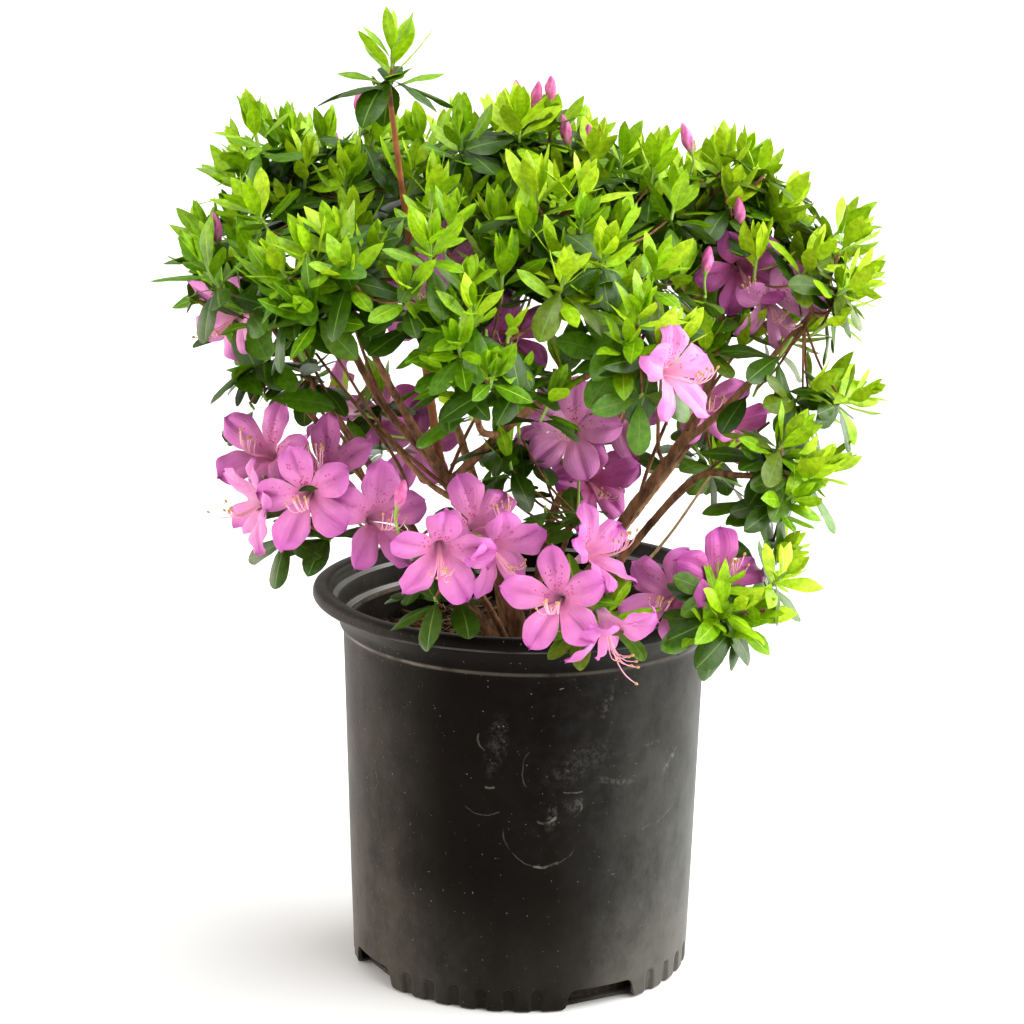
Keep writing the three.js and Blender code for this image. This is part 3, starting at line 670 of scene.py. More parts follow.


# Young greens from the lightest to the deepest: copies of one green that paint light and shade, dealt out
# by each shoot's shade
YOUNG_LIT_TO_SHADED_GREENS = [
    leaf_material("young_leaf_lit", (0.37, 0.55, 0.010), 0.36, 0.20),
    leaf_material("young_leaf_half_lit", (0.25, 0.45, 0.004), 0.36, 0.20),
    leaf_material("young_leaf_half_shaded", (0.165, 0.345, 0.002), 0.36, 0.20),
    leaf_material("young_leaf_shaded", (0.085, 0.215, 0.002), 0.36, 0.20),
]
OLD_GREENS = [
    leaf_material("old_leaf_green", (0.064, 0.168, 0.002), 0.33, 0.3),
    leaf_material("old_leaf_dark_shaded", (0.027, 0.073, 0.001), 0.32, 0.3),
    leaf_material("old_leaf_grey", (0.062, 0.130, 0.007), 0.36, 0.25),
    leaf_material("old_leaf_olive", (0.088, 0.140, 0.003), 0.33, 0.3),
]
OLD_LOOKS = (0.40, 0.25, 0.18, 0.17)
# How often a shoot's old leaves take the dark green as painted shade, on its shaded and on its lit side
SHADED_DARK_SHARES = (0.7, 0.05)
YOUNG_RIB = new_material("young_leaf_rib", (0.34, 0.50, 0.03), 0.45, 0.2)[0]
OLD_RIB = new_material("old_leaf_rib", (0.10, 0.20, 0.025), 0.45, 0.3)[0]


# Limbs


def reach_along(mass, direction):
    """How far a mass reaches from its centre in one direction."""
    return 1 / np.linalg.norm(direction / MASS_SPACE[mass][1])


def entry_point(limb, last):
    """Where a limb's tip enters its mass, on the way from its last via point to the centre."""
    mass = MASS_LIMB[limb]
    centre = MASS_SPACE[mass][0]
    inward = unit(centre - last)
    return centre - inward * ENTRY_SHARE * reach_along(mass, inward)


PATH_STEP = 1.1


def grow_limbs():
    """Each limb's path in close, equal steps, and its radii at foot and tip."""
    limbs = {}
    for name, foot, via, tip, radii in LIMBS:
        if isinstance(foot[0], str):
            start = place_on(limbs[foot[0]][0], foot[1])
        else:
            start = np.array([*foot, SOIL_TOP + GAP])
        end = entry_point(name, np.array(via[-1], float)) if tip is None else tip
        points = [start, *via, end]
        length = sum(np.linalg.norm(np.subtract(b, a)) for a, b in zip(points, points[1:]))
        limbs[name] = (path_through(points, int(length / PATH_STEP)), radii)
    return limbs


BARK_SIDES = 16
BARK_RELIEF = 0.15
BARK_COARSE = (0.30, 0.30, 0.14)
BARK_FINE = (0.95, 0.95, 0.40)
BARK_FINE_SHARE = 0.55
SCAR_PITCH = 0.62
SCAR_SHARPNESS = 12
SCAR_HEIGHT = 0.35
JOINT_SWELL = 0.28
JOINT_REACH = 5


def noise_at(place, scales):
    return noise.noise(Vector([value * scale for value, scale in zip(place, scales)]))


def bark_tube(gather, path, radii, flare, look):
    """A limb with its bark: flakes and furrows along it, leaf scars, and a swollen foot."""
    along, side, other = (part[0] for part in frames_along(path[None]))
    share = np.linspace(0, 1, len(path))
    run = share * len(path) * PATH_STEP
    swell = 1 + JOINT_SWELL * np.exp(-run / JOINT_REACH)
    radius = lerp(radii[0], radii[1], share) * swell + flare * np.exp(-run / FLARE_HEIGHT)
    turn = np.linspace(0, 2 * math.pi, BARK_SIDES, endpoint=False)
    ring = side[:, None] * np.cos(turn)[:, None] + other[:, None] * np.sin(turn)[:, None]
    points = path[:, None] + ring * radius[:, None, None]
    rough = np.empty(points.shape[:2])
    for i, row in enumerate(points):
        for j, place in enumerate(row):
            rough[i, j] = noise_at(place, BARK_COARSE) + BARK_FINE_SHARE * noise_at(place, BARK_FINE)
    scars = np.sin(run * SCAR_PITCH + path[0, 0])[:, None] ** SCAR_SHARPNESS * SCAR_HEIGHT
    points += ring * (BARK_RELIEF * (rough + scars) * radius[:, None])[:, :, None]
    gather.grid(points[None], look, closed=True)
    base = gather.count - points.shape[0] * BARK_SIDES
    first = np.arange(BARK_SIDES)[None]
    gather.faces.append((first[:, ::-1] + base, np.array([look])))
    gather.faces.append((first + gather.count - BARK_SIDES, np.array([look])))


# Twigs


def space_walls(mass):
    """The planes between a mass and the others: directions and limits."""
    centre = MASS_SPACE[mass][0]
    directions = []
    limits = []
    for other, (place, _) in MASS_SPACE.items():
        if other == mass:
            continue
        across = place - centre
        direction = unit(across)
        own = reach_along(mass, direction)
        share = own / (own + reach_along(other, direction))
        directions.append(direction)
        limits.append(centre @ direction + np.linalg.norm(across) * share)
    return np.array(directions), np.array(limits)


def cap_direction(facing, side, other, spread, share, turn):
    """A direction on the cap round a mass's facing, from its middle at share 0 to its edge at 1."""
    cosine = 1 - (1 - math.cos(math.radians(spread))) * share
    sine = math.sqrt(1 - cosine * cosine)
    return facing * cosine + side * (sine * math.cos(turn)) + other * (sine * math.sin(turn))


def within_outline(target):
    """The target, drawn in where it lies beyond the sides of the crown."""
    left = np.interp(target[2], SIDE_HEIGHTS, SIDE_LEFT)
    right = np.interp(target[2], SIDE_HEIGHTS, SIDE_RIGHT)
    return np.array([min(max(target[0], left), right), target[1], target[2]])


def roof_over(target):
    """How high tips stand at a place."""
    return np.interp(target[0], ROOF_X, ROOF_HEIGHTS) - target[1] * ROOF_FALL


def grow_twigs(row, seed, limbs):
    """The twigs of one mass by the source's rule: its stem, and a twig to each tip from the nearest
    free joint. Each twig is its points and radii. The second result is the way the mass faces."""
    name, limb, _, _, tips = row
    draw = seeded_random(seed)
    path, radii = limbs[limb]
    centre = MASS_SPACE[name][0]
    forward = unit(path[-1] - path[-2])
    start = path[-1] + forward * GAP
    hub = start + forward * HUB_REACH
    facing = unit(unit(centre - CROWN_HEART) + UP * FACING_LIFT)
    side, other = square_to(facing)
    targets = []
    for k in range(tips):
        turn = GOLDEN_ANGLE * k + next(draw) * TURN_JITTER + seed
        direction = cap_direction(facing, side, other, CAP_SPREAD, (k + 0.5) / tips, turn)
        reach = (reach_along(name, direction) - LEAF_ROOM) * (1 - TIP_DEPTH * next(draw)) - TUFT_ROOM
        target = within_outline(centre + direction * reach)
        if name != "leaves_leader":
            target[2] = min(target[2], roof_over(target))
        targets.append(target)
    targets.sort(key=lambda target: np.linalg.norm(target - hub))
    joints = [hub]
    twigs = [([path[-1], hub], (radii[1], STEM_RADIUS))]
    for target in targets:
        joints.sort(key=lambda joint: np.linalg.norm(joint - target))
        origin = joints[0]
        sag = np.linalg.norm(target - origin) * lerp(*TWIG_SAG, next(draw))
        middle = (origin + target) / 2 - UP * sag
        twigs.append(([origin, middle, target], (TWIG_RADIUS, TWIG_TIP_RADIUS)))
        if origin is not hub:
            joints.pop(0)
        joints.append(lerp(origin, middle, JOINT_SHARES[0]))
        joints.append(lerp(middle, target, JOINT_SHARES[1]))
    return twigs, facing


def cut_lower(twigs):
    """The twigs, with all but the highest one cut short."""
    top = max(points[-1][2] for points, _ in twigs)
    return [
        (points if points[-1][2] == top else [*points[:2], lerp(*points[1:], LEADER_CUT)], radii)
        for points, radii in twigs
    ]


def add_twig(gather, points, radii, steps, sides):
    """A twig through the points, tapered between its radii."""
    gather.tube(path_through(points, steps)[None], np.linspace(*radii, steps)[None], sides)


def joints_along(twigs):
    """The places along twigs that finer ones may leave."""
    return np.vstack([path_through(points, JOINT_STEPS)[FIRST_JOINT:] for points, _ in twigs])


def grow_fine_twigs(row, seed, twigs, facing, taken):
    """The rule carried on: finer twigs from places along the coarse ones, to tips that keep their
    distance from all the others."""
    name, _, _, _, tips = row
    random = np.random.default_rng(seed)
    centre = MASS_SPACE[name][0]
    side, other = square_to(facing)
    directions, limits = space_walls(name)
    joints = joints_along(twigs)
    fine = []
    for target in np.array(EXTRA_TIPS.get(name, np.zeros((0, 3))), float):
        add_fine_twig(random, fine, joints, target - shoot_axis(target, UP) * EXTRA_BACK, taken)
    tries = tips * FINE_TRIES.get(name, OTHER_FINE_TRIES)
    for k in range(tries):
        turn = GOLDEN_ANGLE * k + seed
        direction = cap_direction(facing, side, other, FINE_SPREAD, (k + 0.5) / tries, turn)
        reach = (reach_along(name, direction) - FINE_LEAF_ROOM) * (1 - FINE_DEPTH * random.random() ** 2)
        uneven = random.uniform(-FINE_UNEVEN, FINE_UNEVEN)
        target = centre + direction * (reach + uneven) - UP * RISE_ROOM
        if (directions @ target <= limits + WALL_SLACK).all():
            add_fine_twig(random, fine, joints, target, taken)
    return fine


def add_fine_twig(random, fine, joints, target, taken):
    """A fine twig to the target from a joint some way off, unless another tip is close to it."""
    target = within_outline(target)
    target[2] = min(target[2], roof_over(target) + random.uniform(-ROOF_UNEVEN, ROOF_UNEVEN))
    if min(np.linalg.norm(np.array(taken) - target, axis=1)) < FINE_SPACING:
        return
    away = np.linalg.norm(joints - target, axis=1)
    origin = joints[np.argmin(np.abs(away - FINE_REACH))]
    length = np.linalg.norm(target - origin)
    if FINE_LENGTHS[0] < length < FINE_LENGTHS[1]:
        middle = (origin + target) / 2 - UP * length * lerp(*TWIG_SAG, random.random())
        fine.append(([origin, middle, target], FINE_RADII))
        taken.append(target)


def bridge_targets(random, name):
    """Tips near the planes between a mass and its neighbours in the upper crown."""
    centre, _ = MASS_SPACE[name]
    targets = []
    for other, (place, _) in MASS_SPACE.items():
        across = place - centre
        if other <= name or min(place[2], centre[2]) < BRIDGE_FLOOR or "leader" in name + other:
            continue
        direction = unit(across)
        own = reach_along(name, direction)
        between = np.linalg.norm(across) - own - reach_along(other, direction)
        if between > BRIDGE_GAP:
            continue
        side, upward = square_to(direction)
        for k in range(BRIDGE_TIPS):
            turn = GOLDEN_ANGLE * k + random.uniform(0, 1)
            away = BRIDGE_SPREAD * math.sqrt((k + 0.5) / BRIDGE_TIPS)
            off = side * math.cos(turn) + upward * math.sin(turn)
            target = centre + direction * (own + between / 2) + off * away - UP * BRIDGE_DROP
            if target[2] > BRIDGE_LOWEST:
                targets.append(target)
    return targets


# Leaves

LEAF_ROWS = np.array([0.0, 0.08, 0.2, 0.34, 0.5, 0.66, 0.8, 0.91, 0.97, 1.0])
LEAF_COLUMNS = np.array([-1.0, -0.58, -0.055, 0.055, 0.58, 1.0])
RIB_COLUMN = 2
BLADE_START = 0.06
BLADE_POWER = 0.76
STALK_WIDTH = 0.11
BLADE_CUP = 0.32
BLADE_WAVE = 0.10
WAVE_PITCH = 9

# The outline towards the tip, for the most pointed leaves and for the bluntest
TIP_STARTS = (1.45, 2.4)
TIP_POWERS = (1.08, 0.62)
LEAF_FIELDS = "root direction axis length width curl fold twist blunt look".split()


class Leaves:
    """Gathers the numbers of many leaves."""

    def __init__(self):
        self.rows = []

    def add(self, *values):
        self.rows.append(values)

    def sheets(self):
        """The blades as sheets of points: [leaf, row, column, xyz]."""
        column = dict(zip(LEAF_FIELDS, zip(*self.rows)))
        root, direction, axis = (np.array(column[key]) for key in ("root", "direction", "axis"))
        length, width, curl, fold, twist, blunt = (
            np.array(column[key])[:, None] for key in LEAF_FIELDS[3:-1]
        )
        across = unit(np.cross(axis, direction))
        upper = np.cross(direction, across)
        along = LEAF_ROWS[None]
        angle = curl * along
        ahead = (length * np.sin(angle) / curl)[..., None]
        down = (length * (1 - np.cos(angle)) / curl)[..., None]
        middle = root[:, None] + direction[:, None] * ahead - upper[:, None] * down
        lifted = direction[:, None] * np.sin(angle)[..., None] + upper[:, None] * np.cos(angle)[..., None]
        turned = (twist * along)[..., None]
        across = across[:, None] * np.cos(turned) + lifted * np.sin(turned)
        lifted = unit(np.cross(across, np.gradient(middle, axis=1)) * -1)
        blade = np.clip((along - BLADE_START) / (1 - BLADE_START), 0, 1)
        towards_tip = (1 - blade ** lerp(*TIP_STARTS, blunt)) ** lerp(*TIP_POWERS, blunt)
        outline = blade**BLADE_POWER * towards_tip
        outline = np.maximum(outline / outline.max(axis=1, keepdims=True), STALK_WIDTH * (1 - along))
        half = (width / 2 * outline)[..., None]
        columns = LEAF_COLUMNS[None, None]
        spread = half * columns
        phase = root[:, :1] * 3
        wave = BLADE_WAVE * np.sin(along * WAVE_PITCH + phase)[..., None] * columns * np.abs(columns)
        raised = half * (fold[..., None] * np.abs(columns) - BLADE_CUP * columns**2 + wave)
        flat = middle[:, :, None] + across[:, :, None] * spread[..., None]
        return flat + lifted[:, :, None] * raised[..., None]

    def looks(self):
        return np.array([row[-1] for row in self.rows])


SHOOT_RISE = (6, 18)
SHORT_RISE = 9
SHOOT_RADII = (0.7, 0.95, 1.0, 0.6)

# Kinds of shoots: how many young, middle and old leaves, the length that young ones stand along,
# how far they spread and how wide the leaves are
SHOOTS = {
    "full": ((7, 9), (2, 3), (5, 7), 12, 54, 1.0),
    "spent": ((0, 0), (0, 0), (3, 5), 12, 54, 1.0),
    "leader": ((10, 10), (3, 3), (4, 4), 17, 62, 0.92),
    "under_leader": ((0, 0), (0, 0), (2, 2), 12, 54, 1.0),
}


def shoot_axis(tip, along):
    """Which way a shoot grows: up, on from its twig, and outward at the crown's edge."""
    away = np.array([tip[0], tip[1], 0.0])
    distance = np.linalg.norm(away)
    lean = np.interp(tip[0], SIDE_PLACES, EDGE_LEANS) * smooth_step(*EDGE_DISTANCES, distance)
    return unit(unit(along) * TWIG_LEAN + away / distance * lean + UP)


YOUNG_TILT = 6
YOUNG_LENGTHS = (17, 29)
YOUNG_LENGTHENING = 0.6

# Young leaves: their width as a share of their length, how blunt they are, their curl and fold
YOUNG_RANGES = ((0.33, 0.40), (0, 0.4), (-0.5, 0.6), (0.15, 0.4))

# Others: their tilt from the shoot in degrees, length, width as a share of it, how blunt they are,
# how far down the shoot they stand, their curl and fold
MIDDLE_RANGES = ((55, 80), (23, 29), (0.34, 0.41), (0.1, 0.5), (0, 4), (0.1, 0.6), (0.15, 0.4))
OLD_RANGES = ((78, 122), (26, 34), (0.40, 0.47), (0.6, 1), (0, 6), (0.2, 0.9), (0.1, 0.35))
SPENT_RANGES = ((50, 105), *OLD_RANGES[1:])

# How unevenly leaves stand and grow: the spread of their tilt, turn and twist, and of their green,
# their sizes, the share of brighter ones, and the least curl
TILT_UNEVEN = 8
TURN_UNEVEN = 0.12
TWIST_UNEVEN = 0.35
GREEN_UNEVEN = 0.7
YOUNG_UNEVEN = (0.85, 1.05)
SIZE_UNEVEN = (0.92, 1.08)
BRIGHTER_SHARE = 0.25
LEAST_CURL = 0.03
LEAF_STAND_OFF = 0.6
DEEPEST_YOUNG = 3
FIRST_OLD = 4
SHADED_DARK_OLD = 5


def draw_each(random, ranges):
    return [random.uniform(*ends) for ends in ranges]


def grow_rosette(random, leaves, green_wood, tip, along, rise, vigour, shade, lit, kind):
    """A spiral of leaves round a shoot: small upright ones in its heart, then larger young ones that
    spread, and old dark ones beneath. The spray has one green for its young and one for its old.
    A spent shoot has old leaves alone."""
    *spans, leafy, spread, breadth = SHOOTS[kind]
    axis = shoot_axis(tip, along)
    side, other = square_to(axis)
    phase = random.uniform(0, 2 * math.pi)
    young, middle, old = (int(random.integers(*span, endpoint=True)) for span in spans)
    # The young green follows the shoot's painted shade
    young_look = int(np.clip(round(shade + random.normal(0, GREEN_UNEVEN)), 0, DEEPEST_YOUNG))
    old_look = FIRST_OLD + int(random.choice(len(OLD_LOOKS), p=OLD_LOOKS))
    # On the shaded side the old leaves more often get the dark green, as painted shade
    if random.random() < lerp(*SHADED_DARK_SHARES, lit):
        old_look = SHADED_DARK_OLD
    top = tip + axis * rise if young else tip
    green_wood.tube(np.array([[tip - axis * 4, tip - axis, top - axis * 2, top + axis]]), [SHOOT_RADII], 6)
    for k in range(young + middle + old):
        turn = phase + GOLDEN_ANGLE * k + random.normal(0, TURN_UNEVEN)
        outward = side * math.cos(turn) + other * math.sin(turn)
        if k < young:
            share = k / young
            tilt = lerp(YOUNG_TILT, spread, share) + random.normal(0, TILT_UNEVEN)
            length = lerp(*YOUNG_LENGTHS, share**YOUNG_LENGTHENING) * random.uniform(*YOUNG_UNEVEN)
            wide, blunt, curl, fold = draw_each(random, YOUNG_RANGES)
            foot = top - axis * leafy * share
            look = max(young_look - int(random.random() < BRIGHTER_SHARE), 0)
        elif k < young + middle:
            tilt, length, wide, blunt, down, curl, fold = draw_each(random, MIDDLE_RANGES)
            foot = top - axis * (leafy + down)
            look = min(young_look + 1, DEEPEST_YOUNG)
        else:
            ranges = OLD_RANGES if young else SPENT_RANGES
            tilt, length, wide, blunt, down, curl, fold = draw_each(random, ranges)
            foot = tip - axis * down
            look = old_look
        width = length * wide * (vigour * breadth)
        length *= vigour * random.uniform(*SIZE_UNEVEN)
        tilt = math.radians(tilt)
        direction = axis * math.cos(tilt) + outward * math.sin(tilt)
        curl = curl if abs(curl) > LEAST_CURL else LEAST_CURL
        root = foot + outward * LEAF_STAND_OFF
        if blade_is_clear(root + direction * length) and flowers_show(root, direction * length):
            twist = random.normal(0, TWIST_UNEVEN)
            leaves.add(root, direction, axis, length, width, curl, fold, twist, blunt, look)


# Where leaves keep clear: how far behind and before a flower's face, at which shares of a blade,
# and how near to the pot's lip, its wall and the soil
FACE_DEPTH = (-3, 90)
BLADE_CHECKS = (0.35, 0.7, 1.0)
LIP_ROOM = 3
WALL_ROOM = 8
SOIL_ROOM = 4


def flowers_show(root, blade):
    """Whether a leaf stands clear of the open faces of all the flowers."""
    for face, looks, clearance in FACES:
        for share in BLADE_CHECKS:
            off = root + blade * share - face
            ahead = off @ looks
            aside = np.linalg.norm(off - ahead * looks)
            if FACE_DEPTH[0] < ahead < FACE_DEPTH[1] and aside < clearance:
                return False
    return True


def blade_is_clear(tip):
    """Whether a leaf's tip is clear of the pot and the soil."""
    radius = math.hypot(tip[0], tip[1])
    if tip[2] >= POT_HEIGHT + LIP_ROOM or radius >= RIM_RADIUS + LIP_ROOM:
        return True
    return radius < LEDGE_RADIUS - WALL_ROOM and tip[2] > SOIL_TOP + SOIL_ROOM


# Flowers

BLOOM_RADIUS = 30
PETALS_ROUND = 5
HALF_PETAL = math.pi / PETALS_ROUND
PETAL_LINE = [(0.5, -26), (2.0, -21), (4.0, -14), (7.6, -8.6), (13.5, -4.6), (21.5, -1.6), (31, 0)]
PETAL_ROWS = 20
PETAL_COLUMNS = np.linspace(-1, 1, 15)
PETAL_HALF_WIDTH = 9.4
LOBE_START = 7.5
LOBE_PEAK = 0.48
LOBE_POWERS = (2.2, 0.6)
EDGE_NOTCH = 0.07
EDGE_RUFFLES = 11
EDGE_POWER = 1.6
BLADE_RUFFLE = 0.8
CREASE_DEPTH = 1.7
CREASE_WIDTH = 0.16
BULGE = 1.9
RECURVE_SHORTENS = 0.012
LEAN_FULL = 0.5

# A petal's waves: how many along it and how far its two edges are apart in them, for the notches and
# the ruffles of its edge, those across its blade by its breadth, length and phase, and where its
# crease runs
NOTCH_WAVE = (8, 2)
RUFFLES_APART = 1.7
BLADE_WAVES = (2.6, 4, 2)
CREASE_RUN = (0.04, 0.92)


def petal_points(share, across, shape):
    """Points of one petal at shares of its length and places across it from -1 to 1.
    shape holds its turn round the flower, width, recurve, ruffle, phase and lean."""
    turn, width, recurve, ruffle, phase, lean = shape
    line = np.array(PETAL_LINE, float)
    knots = np.linspace(0, 1, len(line))
    radius = np.interp(share, knots, line[:, 0])
    height = np.interp(share, knots, line[:, 1])
    lobe = np.clip((radius - LOBE_START) / (BLOOM_RADIUS - LOBE_START), 0, 1)
    joined = LOBE_START * math.tan(HALF_PETAL)
    grown = lerp(joined, width, np.sin(np.minimum(lobe / LOBE_PEAK, 1) * math.pi / 2))
    past_peak = ((lobe - LOBE_PEAK) / (1 - LOBE_PEAK)).clip(0)
    rounded = np.clip(1 - past_peak ** LOBE_POWERS[0], 0, 1) ** LOBE_POWERS[1]
    around, apart = NOTCH_WAVE
    uneven = 1 + EDGE_NOTCH * np.sin(around * lobe + phase + apart * np.sign(across)) * lobe
    half = np.where(lobe > 0, grown * rounded * uneven, radius * math.tan(HALF_PETAL))
    edge = np.abs(across)
    sideways = across * half
    wave = np.sin(EDGE_RUFFLES * lobe + phase + RUFFLES_APART * np.sign(across))
    wavy = ruffle * lobe * edge**EDGE_POWER * wave
    broad, long, later = BLADE_WAVES
    wave = np.sin(broad * across + long * lobe + later * phase)
    wavy = wavy + BLADE_RUFFLE * ruffle * lobe * wave
    crease = -CREASE_DEPTH * np.exp(-((across / CREASE_WIDTH) ** 2))
    crease = crease * np.sin(math.pi * np.clip(lobe * CREASE_RUN[1] + CREASE_RUN[0], 0, 1))
    bulge = BULGE * np.sin(math.pi * edge) * np.sin(math.pi * lobe)
    leaning = np.sin(lean) * sideways * np.sin(math.pi / 2 * np.minimum(lobe / LEAN_FULL, 1))
    height = height + wavy + crease + bulge + leaning - recurve * lobe**2
    inward = np.where(lobe > 0, 1, np.cos(across * math.pi / PETALS_ROUND))
    sideways = np.where(lobe > 0, sideways, radius * np.sin(across * math.pi / PETALS_ROUND))
    outward = radius * inward * (1 - RECURVE_SHORTENS * np.maximum(recurve, 0) * lobe)
    points_x = outward * math.sin(turn) + sideways * math.cos(turn)
    points_y = outward * math.cos(turn) - sideways * math.sin(turn)
    return np.stack(np.broadcast_arrays(points_x, points_y, height), axis=-1)


def flower_frame(face, azimuth, elevation, roll):
    """A matrix whose rows are a flower's right, its up and the way it looks, with its place."""
    looks = look_direction(azimuth, elevation)
    right = unit(np.cross(UP, looks))
    upward = np.cross(looks, right)
    right, upward = (
        right * math.cos(roll) + upward * math.sin(roll),
        upward * math.cos(roll) - right * math.sin(roll),
    )
    return np.array([right, upward, looks]), np.array(face, float)


# Open flowers differ: the share of each tint, their size, and their petals' width, recurve, lean,
# ruffle and phase
TINT_SHARES = (0.5, 0.3, 0.2)
BLOOM_SIZES = (0.86, 0.98)
BLOOM_ROLL = 0.2
PETAL_TURN = 0.04
PETAL_WIDTHS = (0.94, 1.08)
PETAL_RECURVES = (-3, 9)
PETAL_LEANS = (0.05, 0.5)
PETAL_RUFFLES = (1.4, 2.9)
PETAL_PHASES = (0, 6)

# Speckles: how many the upper petal and its neighbours have, how far across and along it, how high
# over it, and their radii
SPECKLES = {0: 26, 1: 8, PETALS_ROUND - 1: 8}
SPECKLE_SPREAD = 0.55
SPECKLE_SHARES = (0.42, 0.80)
SPECKLE_LIFT = 0.25
SPECKLE_RADII = (0.28, 0.5)

STALK_BEND = 12
STALK_RADII = (0.85, 0.75)
STALK_SIDES = 7


def speckle_places(random, petal, number):
    """Where speckles lie across a petal. Those of the neighbours are on their side of the upper one."""
    across = random.uniform(-SPECKLE_SPREAD, SPECKLE_SPREAD, number)
    if petal == 0:
        return across
    return np.abs(across) * (-1 if petal == 1 else 1) + random.normal(0, 0.1, number)


def grow_flower(random, row, gathers, twigs):
    """One open flower: five overlapping petals, speckles on the upper ones, stamens, style, calyx
    and the stalk from the nearest twig."""
    _, face, azimuth, elevation, _ = row
    axes, place = flower_frame(face, azimuth, elevation, random.normal(0, BLOOM_ROLL))
    size = random.uniform(*BLOOM_SIZES)
    petals, speckles, filaments, green = gathers
    tint = int(random.choice(len(TINT_SHARES), p=TINT_SHARES))
    share = np.sin(np.linspace(0, 1, PETAL_ROWS) * math.pi / 2)[:, None]
    columns = PETAL_COLUMNS[None]
    maps = np.stack(np.broadcast_arrays(columns * 0.5 + 0.5, share), axis=-1)

    def put(points):
        return points * size @ axes + place

    for k in range(PETALS_ROUND):
        turn = 2 * math.pi * k / PETALS_ROUND + random.normal(0, PETAL_TURN)
        width = PETAL_HALF_WIDTH * random.uniform(*PETAL_WIDTHS)
        recurve = random.uniform(*PETAL_RECURVES)
        lean = random.uniform(*PETAL_LEANS)
        shape = (turn, width, recurve, *draw_each(random, (PETAL_RUFFLES, PETAL_PHASES)), lean)
        points = petal_points(share + 0 * columns, columns + 0 * share, shape)
        petals.grid(put(points)[None], tint, maps=maps)
        if k in SPECKLES:
            number = SPECKLES[k]
            across = speckle_places(random, k, number)
            spots = petal_points(random.uniform(*SPECKLE_SHARES, number), across, shape)
            radii = random.uniform(*SPECKLE_RADII, number)
            add_dots(speckles, put(spots + (0, 0, SPECKLE_LIFT)), axes[2], radii)
    grow_stamens(random, filaments, put)
    base = put(np.array([0.0, 0.0, PETAL_LINE[0][1]]))
    joints = np.vstack([path_through(points, TWIG_STEPS) for points, _ in twigs])
    origin = joints[np.argmin(np.linalg.norm(joints - base, axis=1))]
    length = np.linalg.norm(base - origin)
    bent = base - axes[2] * min(length * 0.5, STALK_BEND)
    add_twig(green, [origin, bent, base], STALK_RADII, FINE_STEPS, STALK_SIDES)
    add_calyx(green, base, axes)


DOT_SIDES = 6


def add_dots(gather, places, normal, radii):
    """Small round dots that lie on a petal."""
    side, other = square_to(normal)
    turn = np.linspace(0, 2 * math.pi, DOT_SIDES, endpoint=False)[:, None]
    ring = side * np.cos(turn) + other * np.sin(turn)
    points = places[:, None] + ring[None] * radii[:, None, None]
    index = np.arange(len(places) * DOT_SIDES).reshape(-1, DOT_SIDES)
    gather.add(points, index)


CALYX_HEIGHTS = np.array([-1.6, -0.4, 1.0, 2.6])
CALYX_RADII = np.array([0.8, 1.7, 1.9, 0.5])
CALYX_SIDES = 10


def add_calyx(gather, base, axes):
    """The small green cup that a flower stands in."""
    paths = base + CALYX_HEIGHTS[:, None] * axes[2]
    gather.tube(paths[None], CALYX_RADII[None], CALYX_SIDES)


STAMENS = 7
STAMEN_SPREAD = 5
STAMEN_REACHES = (9, 19)
STAMEN_LIFTS = (1, 6)
STAMEN_RADII = (0.34, 0.22)
STAMEN_STEPS = 14
STYLE_REACH = 24
STYLE_SPREAD = 0.4
STYLE_THICKER = 1.2
ANTHER_STEPS = 6
ANTHER_HALF = 1.1
ANTHER_RADIUS = 0.72


def grow_stamens(random, gather, put):
    """Filaments that leave the throat low and curve up at their ends, each with its anther, and one
    longer style."""
    paths = []
    radii = []
    for k in range(STAMENS + 1):
        style = k == STAMENS
        spread = random.uniform(-STAMEN_SPREAD, STAMEN_SPREAD) * (STYLE_SPREAD if style else 1)
        reach = STYLE_REACH if style else random.uniform(*STAMEN_REACHES)
        lift = random.uniform(*STAMEN_LIFTS)
        points = [
            (spread * 0.05, 0, -23),
            (spread * 0.25, -2.2, -9),
            (spread * 0.7, -6.0, reach * 0.35),
            (spread * 1.1, -5.2 + lift * 0.3, reach * 0.75),
            (spread * 1.3, -3.0 + lift, reach),
        ]
        paths.append(put(path_through(points, STAMEN_STEPS)))
        radii.append(np.linspace(*STAMEN_RADII, STAMEN_STEPS) * (STYLE_THICKER if style else 1))
    paths = np.array(paths)
    gather.tube(paths, np.array(radii), 5)
    ends = paths[:, -1]
    ahead = unit(ends - paths[:, -2])
    places = np.linspace(-1, 1, ANTHER_STEPS)
    anther = ends[:, None] + ahead[:, None] * (places[:, None] * ANTHER_HALF)
    round_off = np.sqrt(1 - places**2 * 0.96) * ANTHER_RADIUS
    gather.tube(anther, np.broadcast_to(round_off, (len(ends), ANTHER_STEPS)), 7, look=1)


BUD_LENGTHS = (13, 16)
BUD_RADIUS = 3.0
BUD_SHAPE = (0.14, 0.84, 0.75)
BUD_FOLD = 0.12
BUD_TWIST = 2.2
BUD_ROWS = 14
BUD_SIDES = 20
CUP_HEIGHTS = np.array([-2.5, 0.0, 2.4, 4.2])
CUP_RADII = np.array([0.8, 1.5, 2.3, 2.5])
CUP_SIDES = 12


